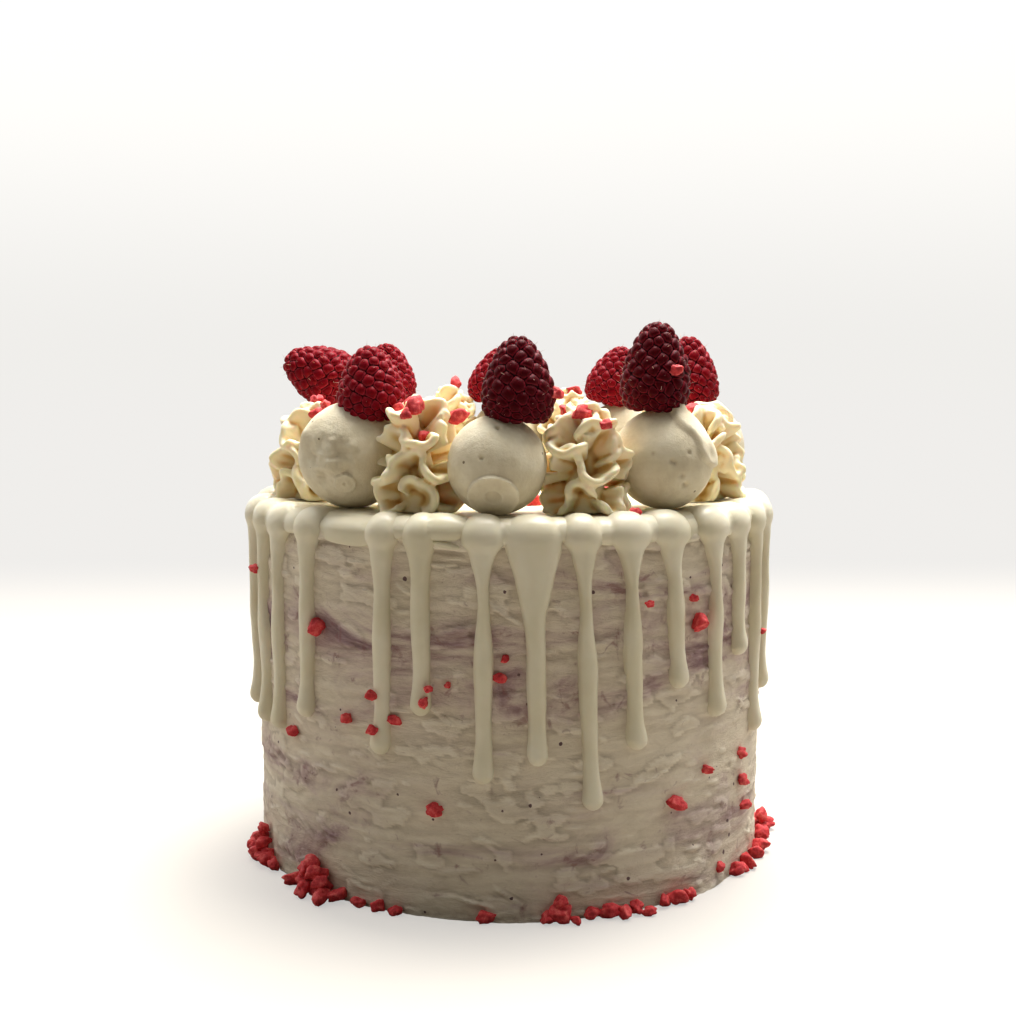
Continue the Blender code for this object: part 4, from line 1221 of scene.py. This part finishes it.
# %% Crumbs on the side and at the foot
SIDE_CRUMBS = [  # angle, height, size, in degrees and mm, as in all these lists
    (-51.8, 44.1, 3.4), (-42.0, 76.1, 4.4), (-34.1, 52.3, 3.6), (-23.0, 53.5, 3), (-14.6, 30.1, 4),
    (-1.9, 66.2, 3), (-0.9, 71.2, 2), (41.2, 77.6, 5.6), (39.6, 84.4, 2.5), (45.2, 35, 2.8),
    (36.2, 28, 4.4), (59.4, 35.6, 3.3), (59.7, 27.4, 3.7), (61.9, 18.8, 3.5), (50.3, 5, 2.6),
    (-12.0, 64, 2), (131.0, 30, 3.6), (168.0, 24, 3), (203.0, 32, 4), (247.0, 26, 3.4),
]
FOOT_CRUMBS = [  # angle, distance from the axis, size
    (-50.0, 80.5, 4.6), (-46.5, 80.2, 5.2), (-44.2, 83.5, 4.8), (-41.8, 80.3, 5.6), (-38.6, 83.8, 4.6),
    (-36.4, 80.3, 4.4), (-31.5, 80, 3.2), (-27.0, 79.8, 3.4), (-22.8, 80, 3), (-4.6, 79.7, 4),
    (7.1, 80, 3.4), (9.8, 80.1, 5), (12.4, 82.4, 2.8), (16.4, 79.9, 3.8), (19.8, 80.3, 4.4),
    (22.4, 82, 3.6), (25.7, 80.1, 4.2), (27.2, 83.4, 3), (32.6, 80, 3.6), (35.6, 80.6, 4.4),
    (38.9, 80.3, 3.4), (56.7, 80, 4.2), (59.6, 80, 3), (62.3, 80.2, 4.4), (68.9, 80.3, 3.8),
    (73.0, 80.5, 4.6), (80.0, 80.2, 5), (84.5, 80.6, 5.2), (88.3, 82.6, 4.4), (91.5, 80.2, 4.6),
    (-60.2, 80.3, 4), (-63.0, 80.6, 4.6), (-65.5, 80.3, 5), (-68.0, 82.2, 4.6), (-70.5, 80.3, 5.2),
    (-73.5, 80.6, 4.6), (-77.0, 80.2, 4.4), (118.0, 80, 4.4), (131.0, 80.1, 4), (180.0, 80, 4.2),
    (196.0, 80, 4), (236.0, 80.3, 4.6), (240.5, 82.2, 3.6), (250.0, 80.2, 4.2),
]
PILED_CRUMBS = [  # the same, and the height at which a crumb lies on others
    (-46.0, 80.6, 4.4, 6.2), (-42.4, 80.8, 4.8, 6.6), (-40.2, 82.2, 4, 5), (-44.2, 80.3, 3.6, 9.2),
    (-66.4, 80.6, 4.2, 6), (-70.0, 80.6, 4.4, 6.4), (-68.2, 80.2, 3.4, 9.5), (85.6, 80.6, 4.2, 6.2),
    (9.9, 80, 3.2, 5.4),
]

draw = random.Random(41)
places = []
for angle, height, size in SIDE_CRUMBS:
    height, size = height * MM, size * MM
    places.append((around(angle, CAKE_RADIUS + knife_relief(angle, height) + 0.22 * size, height), size))
for angle, distance, size, *piled in [*FOOT_CRUMBS, *PILED_CRUMBS]:
    height = piled[0] if piled else 0.44 * size
    places.append((around(angle, distance * MM - 0.0008, height * MM), size * MM))
crumbs("raspberry_crumbs_side", places, draw, "cake")

# %% Crumbs on the chocolate
DRIP_CRUMBS = [  # angle, height, size
    (-66.5, 88.5, 3), (-27.2, 60.1, 3), (-27.0, 50.8, 2.4), (-16.2, 59.5, 3.4), (-15.3, 63.4, 2.4),
    (27.3, 84.8, 2), (67.3, 69.7, 2),
]
POOL_CRUMBS = [  # angle, distance from the axis, size
    (27.0, 74, 3.2), (10.0, 40, 4.4), (75.0, 30, 4), (150.0, 38, 3.6), (215.0, 26, 4.2), (290.0, 36, 3.8),
    (330.0, 42, 3.4), (5.0, 12, 3.6), (100.0, 19, 3), (190.0, 10, 3.4), (255.0, 22, 3), (40.0, 45, 3),
    (352.0, 33, 2.6), (312.0, 25, 3), (120.0, 44, 3), (240.0, 43, 3.4),
]
places = []
for angle, height, size in DRIP_CRUMBS:
    places.append((around(angle, CAKE_RADIUS + DRIP_PROUD + 0.15 * size * MM, height * MM), size * MM))
for angle, distance, size in POOL_CRUMBS:
    places.append((around(angle, distance * MM, POOL_TOP + 0.25 * size * MM), size * MM))
crumbs("raspberry_crumbs_chocolate", places, draw, "white_chocolate_drip")


# %% Crumbs caught in the rosettes: dropped from the front or from above onto what is there
def landing(start, way):
    """Where a straight line first meets anything in the scene."""
    view_layer = bpy.context.view_layer
    view_layer.update()
    hit, place, *_ = bpy.context.scene.ray_cast(
        view_layer.depsgraph, Vector(start), Vector(way).normalized())
    return place if hit else None


FRONT_CRUMBS = [  # across, height, size, as they show from the front
    (-25.1, 136.8, 4.6), (-27.5, 134.5, 3.6), (-14.3, 133.5, 4.4), (-14.7, 130.5, 4.4), (-30, 135.2, 3.4),
    (-21, 140.5, 3), (16.6, 137.8, 4.8), (19.8, 134.5, 5), (15, 135.2, 3.6), (29, 130.3, 4),
    (25.5, 131.8, 2.8), (-56.5, 133, 4), (-54.5, 135.2, 3.4), (12.3, 140, 3.4), (14, 143.5, 3),
    (45.2, 146.2, 3),
]
TOP_CRUMBS = [  # angle, distance from the axis, size, as they were strewn from above
    (16.0, 56, 4), (24.0, 62, 3.4), (66.0, 59, 4.2), (73.0, 64, 3.4), (116.0, 61, 4.2), (122.0, 57, 3.4),
    (158.0, 60, 4.4), (164.0, 65, 3.4), (198.0, 61, 4.2), (204.0, 57, 3.6), (239.0, 60, 4.2),
    (245.0, 64, 3.4), (286.0, 60, 4.2), (292.0, 56, 3.6), (333.0, 58, 4), (339.0, 64, 3.4),
]
IN_FRONT, ABOVE = -0.3, 0.3
NEAREST, FARTHEST = -0.10, 0.03
places = []
for across, height, size in FRONT_CRUMBS:
    place = landing((across * MM, IN_FRONT, height * MM), (0.0, 1.0, 0.0))
    if place is not None and NEAREST < place.y < FARTHEST:
        places.append((place + Vector((0.0, -0.15, 0.05)) * size * MM, size * MM))
for angle, distance, size in TOP_CRUMBS:
    place = landing(around(angle, distance * MM, ABOVE), (0.0, 0.0, -1.0))
    if place is not None and place.z > SEAT:
        places.append((place + Vector((0.0, 0.0, 0.2)) * size * MM, size * MM))
print("crumbs on the rosettes:", len(places))
crumbs("raspberry_crumbs_rosettes", places, draw, *(f"rosette_{number}" for number in TOPPINGS))
for model in LUMPS:
    bpy.data.objects.remove(model)
